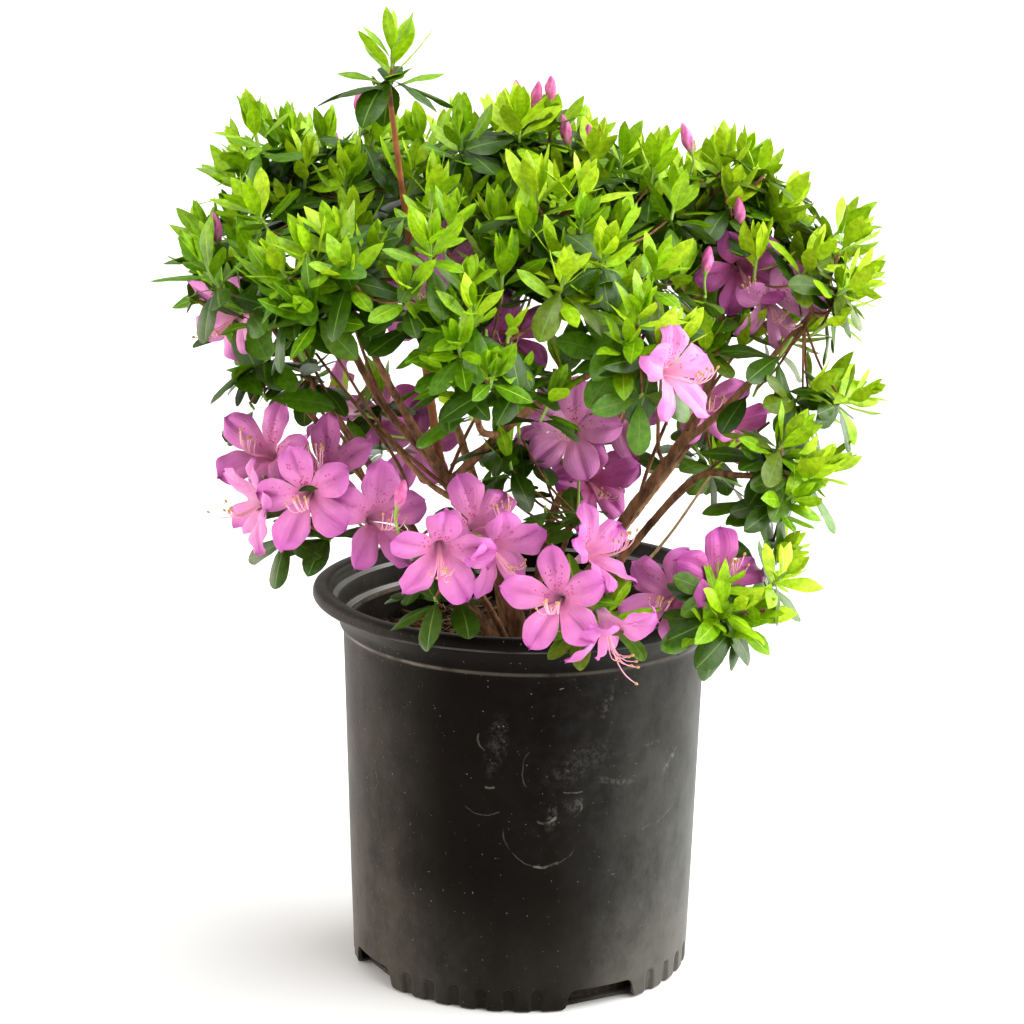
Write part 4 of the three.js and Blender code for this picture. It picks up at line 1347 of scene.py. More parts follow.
def grow_bud(random, gather, foot, lean):
    """A closed pointed bud, its petals wound round each other, in a green cup."""
    length = random.uniform(*BUD_LENGTHS)
    ahead = unit(lean)
    side, other = square_to(ahead)
    share = np.linspace(0, 1, BUD_ROWS)[:, None]
    turn = np.linspace(0, 2 * math.pi, BUD_SIDES, endpoint=False)[None]
    wound = turn + share * BUD_TWIST
    start, along, power = BUD_SHAPE
    radius = BUD_RADIUS * np.sin(math.pi * (start + along * share)) ** power
    radius = radius * (1 + BUD_FOLD * np.cos(PETALS_ROUND * turn))
    points = (
        foot
        + ahead * (share * length)[..., None]
        + side * (radius * np.cos(wound))[..., None]
        + other * (radius * np.sin(wound))[..., None]
    )
    gather.grid(points[None], 0, closed=True)
    last = np.arange(BUD_SIDES)[None] + gather.count - BUD_SIDES
    gather.faces.append((last, np.array([0])))
    cup = foot + ahead * CUP_HEIGHTS[:, None]
    gather.tube(cup[None], CUP_RADII[None], CUP_SIDES, look=1)


# The shrub

SHRUB_SEED = 11

# The materials of limbs that aren't plain bark
BARK_LOOKS = {"bough_leader": 1, "stem_dry": 2}

# A shoot's painted shade, from 0 for the lightest green to 3: how deep it is in the shrub's heart, how
# much lighter it gets between two distances from there, and how much lighter on the lit side
SHADE_DEEPEST = 3.4
SHADE_OUTSIDE = 1.5
SHADE_DISTANCES = (60, 180)
SHADE_LIT = 2.0
VIGOURS = (0.85, 1.12)

# Twigs: their steps and sides
THIN_FORM = (THIN_STEPS, 8)
TWIG_FORM = (TWIG_STEPS, 8)
FINE_FORM = (FINE_STEPS, 6)


limbs = grow_limbs()
random = np.random.default_rng(SHRUB_SEED)

bark = Gather()
for name, foot, *_ in LIMBS:
    path, radii = limbs[name]
    flare = 0 if isinstance(foot[0], str) else radii[0] * FLARE_SHARE
    bark_tube(bark, path, radii, flare, BARK_LOOKS.get(name, 0))

twig_wood = Gather()
green_wood = Gather()
petals = Gather()
speckles = Gather()
filaments = Gather()
buds = Gather()
leaves = Leaves()

for parent, share, via, end in THIN_STEMS:
    add_twig(twig_wood, [place_on(limbs[parent][0], share), via, end], THIN_RADII, *THIN_FORM)

taken = []
grown = []
for number, row in enumerate(MASSES, start=1):
    twigs, facing = grow_twigs(row, number, limbs)
    if row[0] == "leaves_leader":
        twigs[1:] = cut_lower(twigs[1:])
    taken += [points[-1] for points, _ in twigs[1:]]
    grown.append((row, number, twigs, facing))

fine_twigs = [grow_fine_twigs(*growth, taken) for growth in grown]
for (row, _, twigs, _), fine in zip(grown, fine_twigs):
    joints = joints_along(twigs + fine)
    for target in bridge_targets(random, row[0]):
        add_fine_twig(random, fine, joints, target, taken)

# The open faces that leaves keep clear of: their middle, the way they look and the distance
FACES = [(np.array(face), look_direction(*angles), clear) for _, face, *angles, clear in BLOOMS]

all_tips = []
for (row, _, twigs, _), fine in zip(grown, fine_twigs):
    for points, radii in twigs:
        add_twig(twig_wood, points, radii, *TWIG_FORM)
    for points, radii in fine:
        add_twig(twig_wood, points, radii, *FINE_FORM)
    leader = row[0] == "leaves_leader"
    highest = max(points[-1][2] for points, _ in twigs[1:])
    for points, radii in twigs[1:] + fine:
        path = path_through(points, FINE_STEPS)
        tip, along = path[-1], path[-1] - path[-3]
        # The shoot's green paints light and shade: lighter towards the outside of the crown and on its lit
        # side
        lit = smooth_step(*LIT_REACH, (tip - CROWN_HEART) @ LIT_SIDE)
        lighter = SHADE_OUTSIDE * smooth_step(*SHADE_DISTANCES, np.linalg.norm(tip - CROWN_HEART))
        shade = SHADE_DEEPEST - lighter - SHADE_LIT * lit
        vigour = random.uniform(*VIGOURS)
        if leader:
            kind = "leader" if points[-1][2] == highest else "under_leader"
        else:
            kind = "spent" if random.random() < SPENT_SHARES.get(row[0], 0) else "full"
        rise = random.uniform(*SHOOT_RISE) if radii == FINE_RADII else SHORT_RISE
        if leader:
            shade, vigour, rise = LEADER_SHADE, LEADER_VIGOUR, LEADER_RISE
        if kind == "leader":
            tip = tip - unit(along) * LEADER_BACK
        grow_rosette(random, leaves, green_wood, tip, along, rise, vigour, shade, lit, kind)
        all_tips.append(tip)
    for bloom in BLOOMS:
        if bloom[0] == row[0]:
            grow_flower(random, bloom, (petals, speckles, filaments, green_wood), twigs)

# Buds: how unevenly they lean, how far their stalk runs straight and its radius, and the shoot of one
# that stands alone
BUD_LEAN = 0.25
BUD_STRAIGHT = 5
BUD_STALK_RADII = (0.75, 0.75)
BUD_STALK_FORM = (8, 6)
BUD_TWIG_SAG = 5
BUD_SHOOT = {"rise": 4, "vigour": 0.8, "shade": 2, "lit": 0.5, "kind": "spent"}

all_tips = np.array(all_tips)
for place in BUDS:
    nearest = all_tips[np.argmin(np.linalg.norm(all_tips - place, axis=1))]
    foot = np.array(place, float)
    lean = unit(UP + random.normal(0, BUD_LEAN, 3))
    if np.linalg.norm(nearest - foot) > BUD_ALONE:
        heel = foot - UP * BUD_ALONE
        middle = (nearest + heel) / 2 - UP * BUD_TWIG_SAG
        add_twig(twig_wood, [nearest, middle, heel], FINE_RADII, *FINE_FORM)
        grow_rosette(random, leaves, green_wood, heel, UP, **BUD_SHOOT)
        nearest = heel
    add_twig(green_wood, [nearest, foot - lean * BUD_STRAIGHT, foot], BUD_STALK_RADII, *BUD_STALK_FORM)
    grow_bud(random, buds, foot, lean)

MOST_LEAVES = 2200


def leaf_pieces():
    """Makes the blades pieces of under 200,000 triangles, young and old apart."""
    sheets = leaves.sheets()
    looks = leaves.looks()
    masses = [row[0] for row in MASSES]
    for kind, chosen in (("young", looks < FIRST_OLD), ("old", looks >= FIRST_OLD)):
        index = np.flatnonzero(chosen)
        parts = np.array_split(index, math.ceil(len(index) / MOST_LEAVES))
        for number, part in enumerate(parts, start=1):
            gather = Gather()
            look = np.repeat((looks[part] % FIRST_OLD)[:, None, None], len(LEAF_ROWS) - 1, axis=1)
            look = np.repeat(look, len(LEAF_COLUMNS) - 1, axis=2)
            look[:, :, RIB_COLUMN] = len(YOUNG_LIT_TO_SHADED_GREENS)
            gather.grid(sheets[part], look)
            greens = YOUNG_LIT_TO_SHADED_GREENS + [YOUNG_RIB] if kind == "young" else OLD_GREENS + [OLD_RIB]
            gather.piece(f"{kind}_leaves_{number}", greens, "foliage", masses)


leaf_pieces()

BARK = mottled("bark", (0.065, 0.028, 0.011), (0.34, 0.168, 0.078), 190, 0.8, 0.25, 0.0005, (1, 1, 0.35))
LEADER_BARK = mottled("leader_bark", (0.17, 0.045, 0.012), (0.38, 0.125, 0.035), 120, 0.6, 0.35, 0.0002)
DRY_BARK = mottled("dry_bark", (0.42, 0.28, 0.13), (0.60, 0.44, 0.24), 150, 0.7, 0.3, 0.0002)
TWIG_BARK = mottled("twig_bark", (0.085, 0.028, 0.010), (0.26, 0.115, 0.045), 170, 0.7, 0.3, 0.0002)
SHOOT = mottled("green_shoot", (0.20, 0.34, 0.05), (0.36, 0.50, 0.10), 90, 0.5, 0.35, 0.0002)

limb_names = [row[0] for row in LIMBS]
bark.piece("bark", [BARK, LEADER_BARK, DRY_BARK], "bark", limb_names)
twig_wood.piece("twigs", [TWIG_BARK], "bark")
green_wood.piece("green_shoots", [SHOOT], "foliage")


# A petal's colours: where along it each is reached, the tone that drifts over it, and its veins
PETAL_PLACES = (0.10, 0.40, 0.62, 0.97)
PETAL_TONES = [(0.3, (0.72, 0.62, 0.78)), (0.65, (1, 1, 1))]
PETAL_TONE_SHARE = 0.55
PETAL_NOISE = (110, 3)
PETAL_VEINS = 3.2
VEIN_DISTORTION = 1.5
VEIN_BUMP = (0.25, 0.0005)


def petal_material(name, heart, blade, edge):
    """A petal: its throat, blade and edge shade into each other, with fine veins along it."""
    material, tree, shader = new_material(name, blade, 0.48, 0.3)
    where = tree.nodes.new("ShaderNodeUVMap")
    where.uv_map = "Map"
    parts = tree.nodes.new("ShaderNodeSeparateXYZ")
    tree.links.new(where.outputs["UV"], parts.inputs["Vector"])
    stops = list(zip(PETAL_PLACES, (PALE_LIT_THROAT, heart, blade, edge)))
    colour = ramp_node(tree, parts.outputs["Y"], stops)
    tone = ramp_node(tree, noise_node(tree, *PETAL_NOISE), PETAL_TONES)
    shaded = mix_node(tree, "MULTIPLY", PETAL_TONE_SHARE, colour, tone)
    tree.links.new(shaded, shader.inputs["Base Color"])
    veins = tree.nodes.new("ShaderNodeTexWave")
    veins.bands_direction = "X"
    veins.inputs["Scale"].default_value = PETAL_VEINS
    veins.inputs["Distortion"].default_value = VEIN_DISTORTION
    tree.links.new(where.outputs["UV"], veins.inputs["Vector"])
    bump_node(tree, shader, veins.outputs["Fac"], *VEIN_BUMP)
    return material


# The throat's pale pink, lightened further as painted light against the shade deep in the flower
PALE_LIT_THROAT = (0.98, 0.62, 0.80)
PETALS = [
    petal_material("petal_orchid", (0.66, 0.22, 0.42), (0.66, 0.21, 0.47), (0.54, 0.12, 0.42)),
    petal_material("petal_pale", (0.74, 0.34, 0.50), (0.72, 0.28, 0.53), (0.60, 0.17, 0.46)),
    petal_material("petal_deep", (0.60, 0.13, 0.33), (0.58, 0.13, 0.39), (0.46, 0.08, 0.35)),
]
SPECKLE = new_material("speckle", (0.42, 0.02, 0.16), 0.6)[0]
FILAMENT = new_material("filament", (0.86, 0.42, 0.52), 0.45)[0]
ANTHER = new_material("anther", (0.46, 0.25, 0.10), 0.7)[0]
BUD = mottled("bud", (0.42, 0.03, 0.19), (0.70, 0.19, 0.44), 190, 0.45, 0.35)

petals.piece("petals", PETALS, "petals")
speckles.piece("speckles", [SPECKLE], "petals")
filaments.piece("stamens", [FILAMENT, ANTHER], "petals")
buds.piece("buds", [BUD, SHOOT], "petals")


# Pot

POT_COLUMNS = 720
LIP_UNDER = POT_HEIGHT - LIP_HEIGHT
FLUTE_EDGE = (-1.3, 0.5)
FLUTE_ZONE = 4

# The pot is a little out of round from this height up: the size, number and phase of the waves in its
# radius and in its height
BENT_FROM = 40
RADIUS_WAVES = [(0.7, 2, 0.8), (0.45, 3, 2.0), (0.25, 7, 0)]
HEIGHT_WAVES = [(0.9, 2, 2.4), (0.5, 3, 0)]

# The steps inside the rim, painted pale as a highlight: how far below it they lie, and the least breadth
# of their faces
STEP_DEPTHS = (7, 21)
STEP_BREADTH = 1.0


def wall_radius(height):
    """The outside radius of the pot's wall."""
    return lerp(FOOT_RADIUS, SHOULDER_RADIUS, height / SHOULDER_HEIGHT)


def pot_profile():
    """The pot's section from the middle of its underside, round its rim, to the middle inside."""
    foot = [(r, 0) for r in np.linspace(0, FOOT_RADIUS - 3, 8)]
    toe = [(FOOT_RADIUS - 1.2, 0.4), (FOOT_RADIUS - 0.3, 1.3)]
    low = [(wall_radius(z), z) for z in np.arange(2.2, 20, 0.8)]
    wall = [(wall_radius(z), z) for z in np.arange(22, SHOULDER_HEIGHT - 1, 6)]
    ledge = [
        (SHOULDER_RADIUS, SHOULDER_HEIGHT - 0.6),
        (SHOULDER_RADIUS + 0.7, SHOULDER_HEIGHT + 0.7),
        (LEDGE_RADIUS - 0.3, SHOULDER_HEIGHT + 2.0),
        (LEDGE_RADIUS + 0.1, SHOULDER_HEIGHT + 2.8),
        (LEDGE_RADIUS + 0.2, SHOULDER_HEIGHT + 3.8),
        (LEDGE_RADIUS + 0.6, SHOULDER_HEIGHT + 6.0),
        (LEDGE_RADIUS + 2.2, SHOULDER_HEIGHT + 9.0),
        (LEDGE_RADIUS + 4.8, SHOULDER_HEIGHT + 12.5),
        (COLLAR_RADIUS - 0.8, LIP_UNDER - 1.8),
        (COLLAR_RADIUS + 0.4, LIP_UNDER - 0.4),
        (COLLAR_RADIUS + 1.6, LIP_UNDER),
    ]
    lip = [
        (RIM_RADIUS - 1.6, LIP_UNDER),
        (RIM_RADIUS - 0.5, LIP_UNDER + 0.5),
        (RIM_RADIUS, LIP_UNDER + 1.6),
        (RIM_RADIUS - 0.1, POT_HEIGHT - 3.0),
        (RIM_RADIUS - 0.7, POT_HEIGHT - 1.4),
        (RIM_RADIUS - 1.9, POT_HEIGHT - 0.4),
        (RIM_RADIUS - 3.4, POT_HEIGHT),
        (RIM_RADIUS - LIP_WIDTH + 1.5, POT_HEIGHT - 0.1),
        (RIM_RADIUS - LIP_WIDTH + 0.2, POT_HEIGHT - 0.8),
    ]
    inside = [
        (RIM_RADIUS - LIP_WIDTH - 0.6, POT_HEIGHT - 2.4),
        (RIM_RADIUS - LIP_WIDTH - 1.0, POT_HEIGHT - 6.4),
        (RIM_RADIUS - LIP_WIDTH - 1.6, POT_HEIGHT - 7.4),
        (RIM_RADIUS - LIP_WIDTH - 2.8, POT_HEIGHT - 8.0),
        (LEDGE_RADIUS + 1.0, POT_HEIGHT - 8.6),
        (LEDGE_RADIUS + 0.2, POT_HEIGHT - 9.8),
        (LEDGE_RADIUS - 0.4, POT_HEIGHT - 17.0),
        (LEDGE_RADIUS - 0.9, POT_HEIGHT - 18.2),
        (LEDGE_RADIUS - 2.1, POT_HEIGHT - 18.9),
        (SHOULDER_RADIUS - 1.8, POT_HEIGHT - 19.6),
        (SHOULDER_RADIUS - 2.4, POT_HEIGHT - 21.0),
    ]
    down = [(wall_radius(z) - WALL, z) for z in np.arange(182, 4, -7)]
    floor = [(r, WALL) for r in np.linspace(FOOT_RADIUS - WALL - 1, 0, 8)]
    return np.array(foot + toe + low + wall + ledge + lip + inside + down + floor, float)


def notch_azimuths():
    return [NOTCH_TURN + 360 / NOTCH_COUNT * k for k in range(NOTCH_COUNT)]


def flute_depth(azimuth, height):
    """How far the arched flutes round the foot sink in, at azimuths in degrees and heights."""
    depth = np.zeros(np.broadcast(azimuth, height).shape)
    for notch in notch_azimuths():
        for k in range(FLUTES_BETWEEN):
            aside = FLUTE_SPACING * (k - (FLUTES_BETWEEN - 1) / 2)
            centre = notch + 180 / NOTCH_COUNT + FLUTE_SHIFT + aside
            off = (azimuth - centre + 180) % 360 - 180
            x = np.radians(off) * FOOT_RADIUS
            above = np.maximum(height - (FLUTE_HEIGHT - FLUTE_WIDTH / 2), 0)
            edge = np.hypot(x, above) - FLUTE_WIDTH / 2
            depth += FLUTE_DEPTH * (1 - smooth_step(*FLUTE_EDGE, edge))
    return depth


# A notch flares towards the floor: how much wider each half is, at heights
NOTCH_FLARE = [(2.4, -2), (1.6, 0.2), (0.4, 1.8), (-0.6, 3.6)]
NOTCH_TAPER = 1.2
NOTCH_CORNER_STEPS = 6


def notch_cutter():
    """A block with rounded upper corners that cuts one drain notch, at the front."""
    half = NOTCH_WIDTH / 2
    right = [(half + wider, z) for wider, z in NOTCH_FLARE]
    for angle in np.linspace(0, math.pi / 2, NOTCH_CORNER_STEPS):
        x = half - NOTCH_TAPER - NOTCH_CORNER * (1 - math.cos(angle))
        right.append((x, NOTCH_HEIGHT - NOTCH_CORNER * (1 - math.sin(angle))))
    outline = right + [(-x, z) for x, z in reversed(right)]
    shape = bmesh.new()
    rings = []
    for y in (-FOOT_RADIUS - NOTCH_BITE, -FOOT_RADIUS + NOTCH_BITE):
        rings.append([shape.verts.new((x * MM, y * MM, z * MM)) for x, z in outline])
    shape.faces.new(rings[0])
    shape.faces.new(reversed(rings[1]))
    for i in range(len(outline)):
        j = (i + 1) % len(outline)
        shape.faces.new((rings[0][j], rings[0][i], rings[1][i], rings[1][j]))
    bmesh.ops.recalc_face_normals(shape, faces=shape.faces)
    mesh = bpy.data.meshes.new("notch")
    shape.to_mesh(mesh)
    shape.free()
    return mesh


def waves_round(turn, waves):
    return sum(size * np.sin(number * turn + phase) for size, number, phase in waves)


def make_pot(materials):
    """The pot from its section, with flutes round its foot, and then its drain notches cut."""
    profile = pot_profile()
    turn = np.linspace(0, 2 * math.pi, POT_COLUMNS, endpoint=False)
    radius = np.repeat(profile[1:-1, :1], POT_COLUMNS, axis=1)
    height = np.repeat(profile[1:-1, 1:], POT_COLUMNS, axis=1)
    top = np.argmax(profile[:, 1])
    outside = np.arange(len(radius))[:, None] < top
    sunk = flute_depth(np.degrees(turn)[None], height) * outside * (radius > FOOT_RADIUS - FLUTE_ZONE)
    high = smooth_step(BENT_FROM, POT_HEIGHT, height)
    radius = radius - sunk + high * waves_round(turn, RADIUS_WAVES)
    height = height + high**4 * waves_round(turn, HEIGHT_WAVES)
    points = np.stack([radius * np.sin(turn), -radius * np.cos(turn), height], axis=-1)
    gather = Gather()
    depths = POT_HEIGHT - profile[1:-2, 1]
    broad = np.abs(np.diff(profile[1:-1, 0])) > STEP_BREADTH
    step = (depths > STEP_DEPTHS[0]) & (depths < STEP_DEPTHS[1]) & broad & (np.arange(len(depths)) > top)
    gather.grid(points[None], step[None, :, None].astype(int), closed=True)
    last = gather.count - POT_COLUMNS
    gather.add(np.array([[0, 0, 0.0], [0, 0, WALL]]), np.zeros((0, 3), int))
    plain = np.zeros(POT_COLUMNS, int)
    around = np.arange(POT_COLUMNS)
    after = (around + 1) % POT_COLUMNS
    gather.faces.append((np.stack([plain + gather.count - 2, after, around], 1), plain))
    gather.faces.append((np.stack([plain + gather.count - 1, around + last, after + last], 1), plain))
    pot = gather.piece("nursery_pot", materials, "pot", ["pot"])
    bpy.context.view_layer.objects.active = pot
    for azimuth in notch_azimuths():
        cutter = bpy.data.objects.new("notch", notch_cutter())
        cutter.matrix_world = Matrix.Rotation(math.radians(azimuth), 4, "Z")
        bpy.context.scene.collection.objects.link(cutter)
        cut = pot.modifiers.new("notch", "BOOLEAN")
        cut.operation = "DIFFERENCE"
        cut.solver = "MANIFOLD"
        cut.object = cutter
        bpy.context.view_layer.update()
        bpy.ops.object.modifier_apply(modifier=cut.name)
        bpy.data.objects.remove(cutter)
    return pot


# Marks on the pot's front, by X and Z in mm. An arc has its centre, its radius, its half width, the
# angles from straight down between which it runs, and its strength. A smear has its middle, half its
# length and width, its slope in degrees and its strength.
ARCS = [
    (11, 104, 20.5, 0.22, -95, 62, 0.22),
    (11, 104, 20.5, 0.45, -14, 26, 0.65),
    (12, 113, 6, 0.45, -50, 65, 0.65),
    (26, 115, 4.6, 0.40, 10, 175, 0.35),
    (26, 163, 39.5, 0.22, -8, 8, 0.5),
    (-20, 129, 17, 0.22, -40, 32, 0.25),
    (20, 136, 20.5, 0.22, -125, -62, 0.2),
    (-10, 155, 13.5, 0.30, -98, -48, 0.25),
    (-17, 131, 5, 0.40, -40, 35, 0.4),
    (60, 126, 30, 0.40, 4, 48, 0.25),
]
SMEARS = [
    (48, 127, 12, 2.6, -14, 0.55),
    (78, 130, 9, 1.6, 58, 0.95),
    (43, 172, 11, 3.6, 72, 0.40),
    (68, 144, 6, 1.4, 4, 0.45),
    (15, 110, 9, 4.0, 80, 0.40),
    (27, 117, 7, 5.0, 10, 0.35),
    (-14, 150, 22, 7.0, 80, 0.18),
    (30, 140, 26, 12.0, 30, 0.16),
]


# The share of an arc's sector over which its ends fade
ARC_FADE = 0.35


def arc_mask(tree, place, arc):
    x, z, radius, half, first, last, strength = arc
    centre = (x * MM, 0.0, z * MM)
    away = vector_node(tree, "DISTANCE", place, centre)
    line = band_node(tree, away, radius * MM, half * MM, half * MM)
    middle, spread = math.radians((first + last) / 2), math.radians((last - first) / 2)
    heading = vector_node(tree, "NORMALIZE", vector_node(tree, "SUBTRACT", place, centre))
    ahead = vector_node(tree, "DOT_PRODUCT", heading, (math.sin(middle), 0.0, -math.cos(middle)))
    sector = step_node(tree, ahead, math.cos(spread), lerp(math.cos(spread), 1, ARC_FADE))
    return product(tree, line, sector, strength)


def smear_mask(tree, place, smear):
    x, z, long, wide, slope, strength = smear
    slope = math.radians(slope)
    off = vector_node(tree, "SUBTRACT", place, (x * MM, 0.0, z * MM))
    ahead = (math.cos(slope) / (long * MM), 0.0, math.sin(slope) / (long * MM))
    aside = (-math.sin(slope) / (wide * MM), 0.0, math.cos(slope) / (wide * MM))
    parts = [vector_node(tree, "DOT_PRODUCT", off, axis) for axis in (ahead, aside)]
    squares = [math_node(tree, "POWER", part, 2.0) for part in parts]
    return product(tree, step_node(tree, math_node(tree, "ADD", *squares), 1.0, 0.0), strength)


SHAKE = 0.006
SHAKE_SCALE = 70


def marked_place(tree, where):
    """The place on the pot's front with its depth taken out, a little unsteady."""
    pattern = tree.nodes.new("ShaderNodeTexNoise")
    pattern.inputs["Scale"].default_value = SHAKE_SCALE
    pattern.inputs["Detail"].default_value = 4
    tree.links.new(where, pattern.inputs["Vector"])
    shaken = tree.nodes.new("ShaderNodeVectorMath")
    shaken.operation = "MULTIPLY_ADD"
    shaken.inputs[1].default_value = (SHAKE, 0.0, SHAKE)
    tree.links.new(pattern.outputs["Color"], shaken.inputs[0])
    tree.links.new(where, shaken.inputs[2])
    level = vector_node(tree, "MULTIPLY", shaken.outputs["Vector"], (1.0, 0.0, 1.0))
    return vector_node(tree, "SUBTRACT", level, (SHAKE / 2, 0.0, SHAKE / 2))


# Patches on the pot: the scale, detail, roughness and stretch of their noise, and from which of its
# values to which they fade in
DUST_AND_SHEEN_PATCHES = ((34, 10, 0.75, (1, 1, 0.7)), 0.05, 0.85)
SPECK_PATCHES = ((620, 1), 0.75, 0.79)
SCRATCH_PATCHES = ((150, 5), 0.30, 0.62)
SMEAR_PATCHES = ((380, 6, 0.7), 0.42, 0.70)
WORN_HIGHLIGHT_PATCHES = ((45, 6), 0.30, 0.60)
PIT_PATCHES = ((260, 1), 0.68, 0.74)


def patches_node(tree, patches):
    form, low, high = patches
    return step_node(tree, noise_node(tree, *form), low, high)


# Where dust and the sides' painted sheen thicken on the pot, along X or up Z in metres, from none to full
DUST_AND_SHEEN_LEFT = (-0.036, -0.100)
DUST_AND_SHEEN_RIGHT = (0.012, 0.105)
DUST_AND_SHEEN_RIGHT_ENDS = (0.090, 0.104)
DUST_AND_SHEEN_RIGHT_ENDS_BY = 0.6
DUST_AND_SHEEN_LOW = (0.20, 0.05)
DUST_AND_SHEEN_HIGH_SHARE = 0.5
FOOT_DUST = (0.080, 0.008)
FOOT_LEFT = (-0.010, -0.070)
FOOT_RIGHT = (0.030, 0.052)
FOOT_SHARES = (0.40, 0.45, 0.12)
HAZE_RIGHT = (-0.030, 0.060)
HAZE_UP = (0.05, 0.12)
HAZE_GRAIN = (0.4, 0.7)
HAZE_SHARE = 0.10


def dust_and_sheen_layers(tree, x, z, grain):
    """Dust and haze on the pot, and a painted sheen on its left and right sides: masks and colours."""
    blotches = patches_node(tree, DUST_AND_SHEEN_PATCHES)
    low = product(tree, step_node(tree, z, *DUST_AND_SHEEN_LOW), 1 - DUST_AND_SHEEN_HIGH_SHARE)
    dust_and_sheen = product(tree, blotches, math_node(tree, "ADD", low, DUST_AND_SHEEN_HIGH_SHARE))
    # Left and right: dust lightened into a painted sheen on the pot's sides, cut back at the far right
    cut = product(tree, step_node(tree, x, *DUST_AND_SHEEN_RIGHT_ENDS), DUST_AND_SHEEN_RIGHT_ENDS_BY)
    left = product(tree, step_node(tree, x, *DUST_AND_SHEEN_LEFT), dust_and_sheen)
    right = product(tree, step_node(tree, x, *DUST_AND_SHEEN_RIGHT), dust_and_sheen, math_node(tree, "SUBTRACT", 1, cut))
    foot_left = product(tree, step_node(tree, x, *FOOT_LEFT), FOOT_SHARES[0])
    foot_right = product(tree, step_node(tree, x, *FOOT_RIGHT), FOOT_SHARES[1])
    foot_sides = math_node(tree, "ADD", math_node(tree, "ADD", foot_left, foot_right), FOOT_SHARES[2])
    foot = product(tree, step_node(tree, z, *FOOT_DUST), foot_sides, blotches)
    haze = product(tree, step_node(tree, x, *HAZE_RIGHT), step_node(tree, grain, *HAZE_GRAIN))
    haze = product(tree, haze, step_node(tree, z, *HAZE_UP), HAZE_SHARE)
    return [
        # Dust with a painted sheen at the left and at the right, then dust at the foot, and haze
        (left, (0.095, 0.084, 0.067)),
        (right, (0.100, 0.100, 0.091)),
        (foot, (0.115, 0.106, 0.090)),
        (haze, (0.060, 0.066, 0.070)),
    ]


# The front of the pot, along Y in metres, where smears and scratches fade in
FRONT = (-0.010, -0.040)


def mark_layers(tree, where, y):
    """Specks, smears and scratches on the pot: masks and colours."""
    front = step_node(tree, y, *FRONT)
    place = marked_place(tree, where)
    specks = patches_node(tree, SPECK_PATCHES)
    scratches = strongest(tree, [arc_mask(tree, place, arc) for arc in ARCS])
    broken = patches_node(tree, SCRATCH_PATCHES)
    smears = strongest(tree, [smear_mask(tree, place, smear) for smear in SMEARS])
    streaky = patches_node(tree, SMEAR_PATCHES)
    return [
        (specks, (0.11, 0.11, 0.10)),
        (product(tree, smears, streaky, front), (0.13, 0.125, 0.115)),
        (product(tree, scratches, broken, front), (0.15, 0.145, 0.13)),
    ]


# Wear and a painted highlight along the ledge and under the lip: how far over their edges, half its
# height, how softly it ends, and how strong it is at the right of the ledge and along the lip
LEDGE_WEAR_AND_HIGHLIGHT = (2.2, 0.0006, 0.0009)
LIP_WEAR_AND_HIGHLIGHT = (1.2, 0.0004, 0.0006)
LEDGE_HIGHLIGHT_LEFT = (-0.02, -0.08)
LEDGE_HIGHLIGHT_RIGHT_SHARE = 0.25
LIP_HIGHLIGHT_SHARE = 0.3


def wear_and_highlight_layers(tree, x, z):
    """The ledge and the lip worn pale, with a painted highlight: masks and colours."""
    over, half, soft = LEDGE_WEAR_AND_HIGHLIGHT
    ledge = band_node(tree, z, (SHOULDER_HEIGHT + over) * MM, half, soft)
    over, half, soft = LIP_WEAR_AND_HIGHLIGHT
    lip = band_node(tree, z, (LIP_UNDER + over) * MM, half, soft)
    worn_highlight = patches_node(tree, WORN_HIGHLIGHT_PATCHES)
    leftward = product(tree, step_node(tree, x, *LEDGE_HIGHLIGHT_LEFT), 1 - LEDGE_HIGHLIGHT_RIGHT_SHARE)
    leftward = math_node(tree, "ADD", leftward, LEDGE_HIGHLIGHT_RIGHT_SHARE)
    # Pale wear with a painted highlight, stronger at the left of the ledge
    return [
        (product(tree, ledge, worn_highlight, leftward), (0.17, 0.14, 0.11)),
        (product(tree, lip, worn_highlight, LIP_HIGHLIGHT_SHARE), (0.13, 0.12, 0.11)),
    ]


# The plastic: its clouds and its grain, its tones and roughness by the clouds, its sheen, the side
# where it is pitted, and its relief
CLOUDS = (16, 8, 0.7)
GRAIN = (160, 6)
PLASTIC_TONES = [(0.38, (0.0022, 0.0014, 0.0009)), (0.75, (0.0056, 0.0042, 0.0029))]
PLASTIC_ROUGHNESS = [(0.3, grey(0.34)), (0.75, grey(0.52))]
SHEEN = (0.12, 0.35)
PITTED_SIDE = (-0.030, -0.060)
GRAIN_SHARE = 0.35
PLASTIC_BUMP = (0.5, 0.0006)


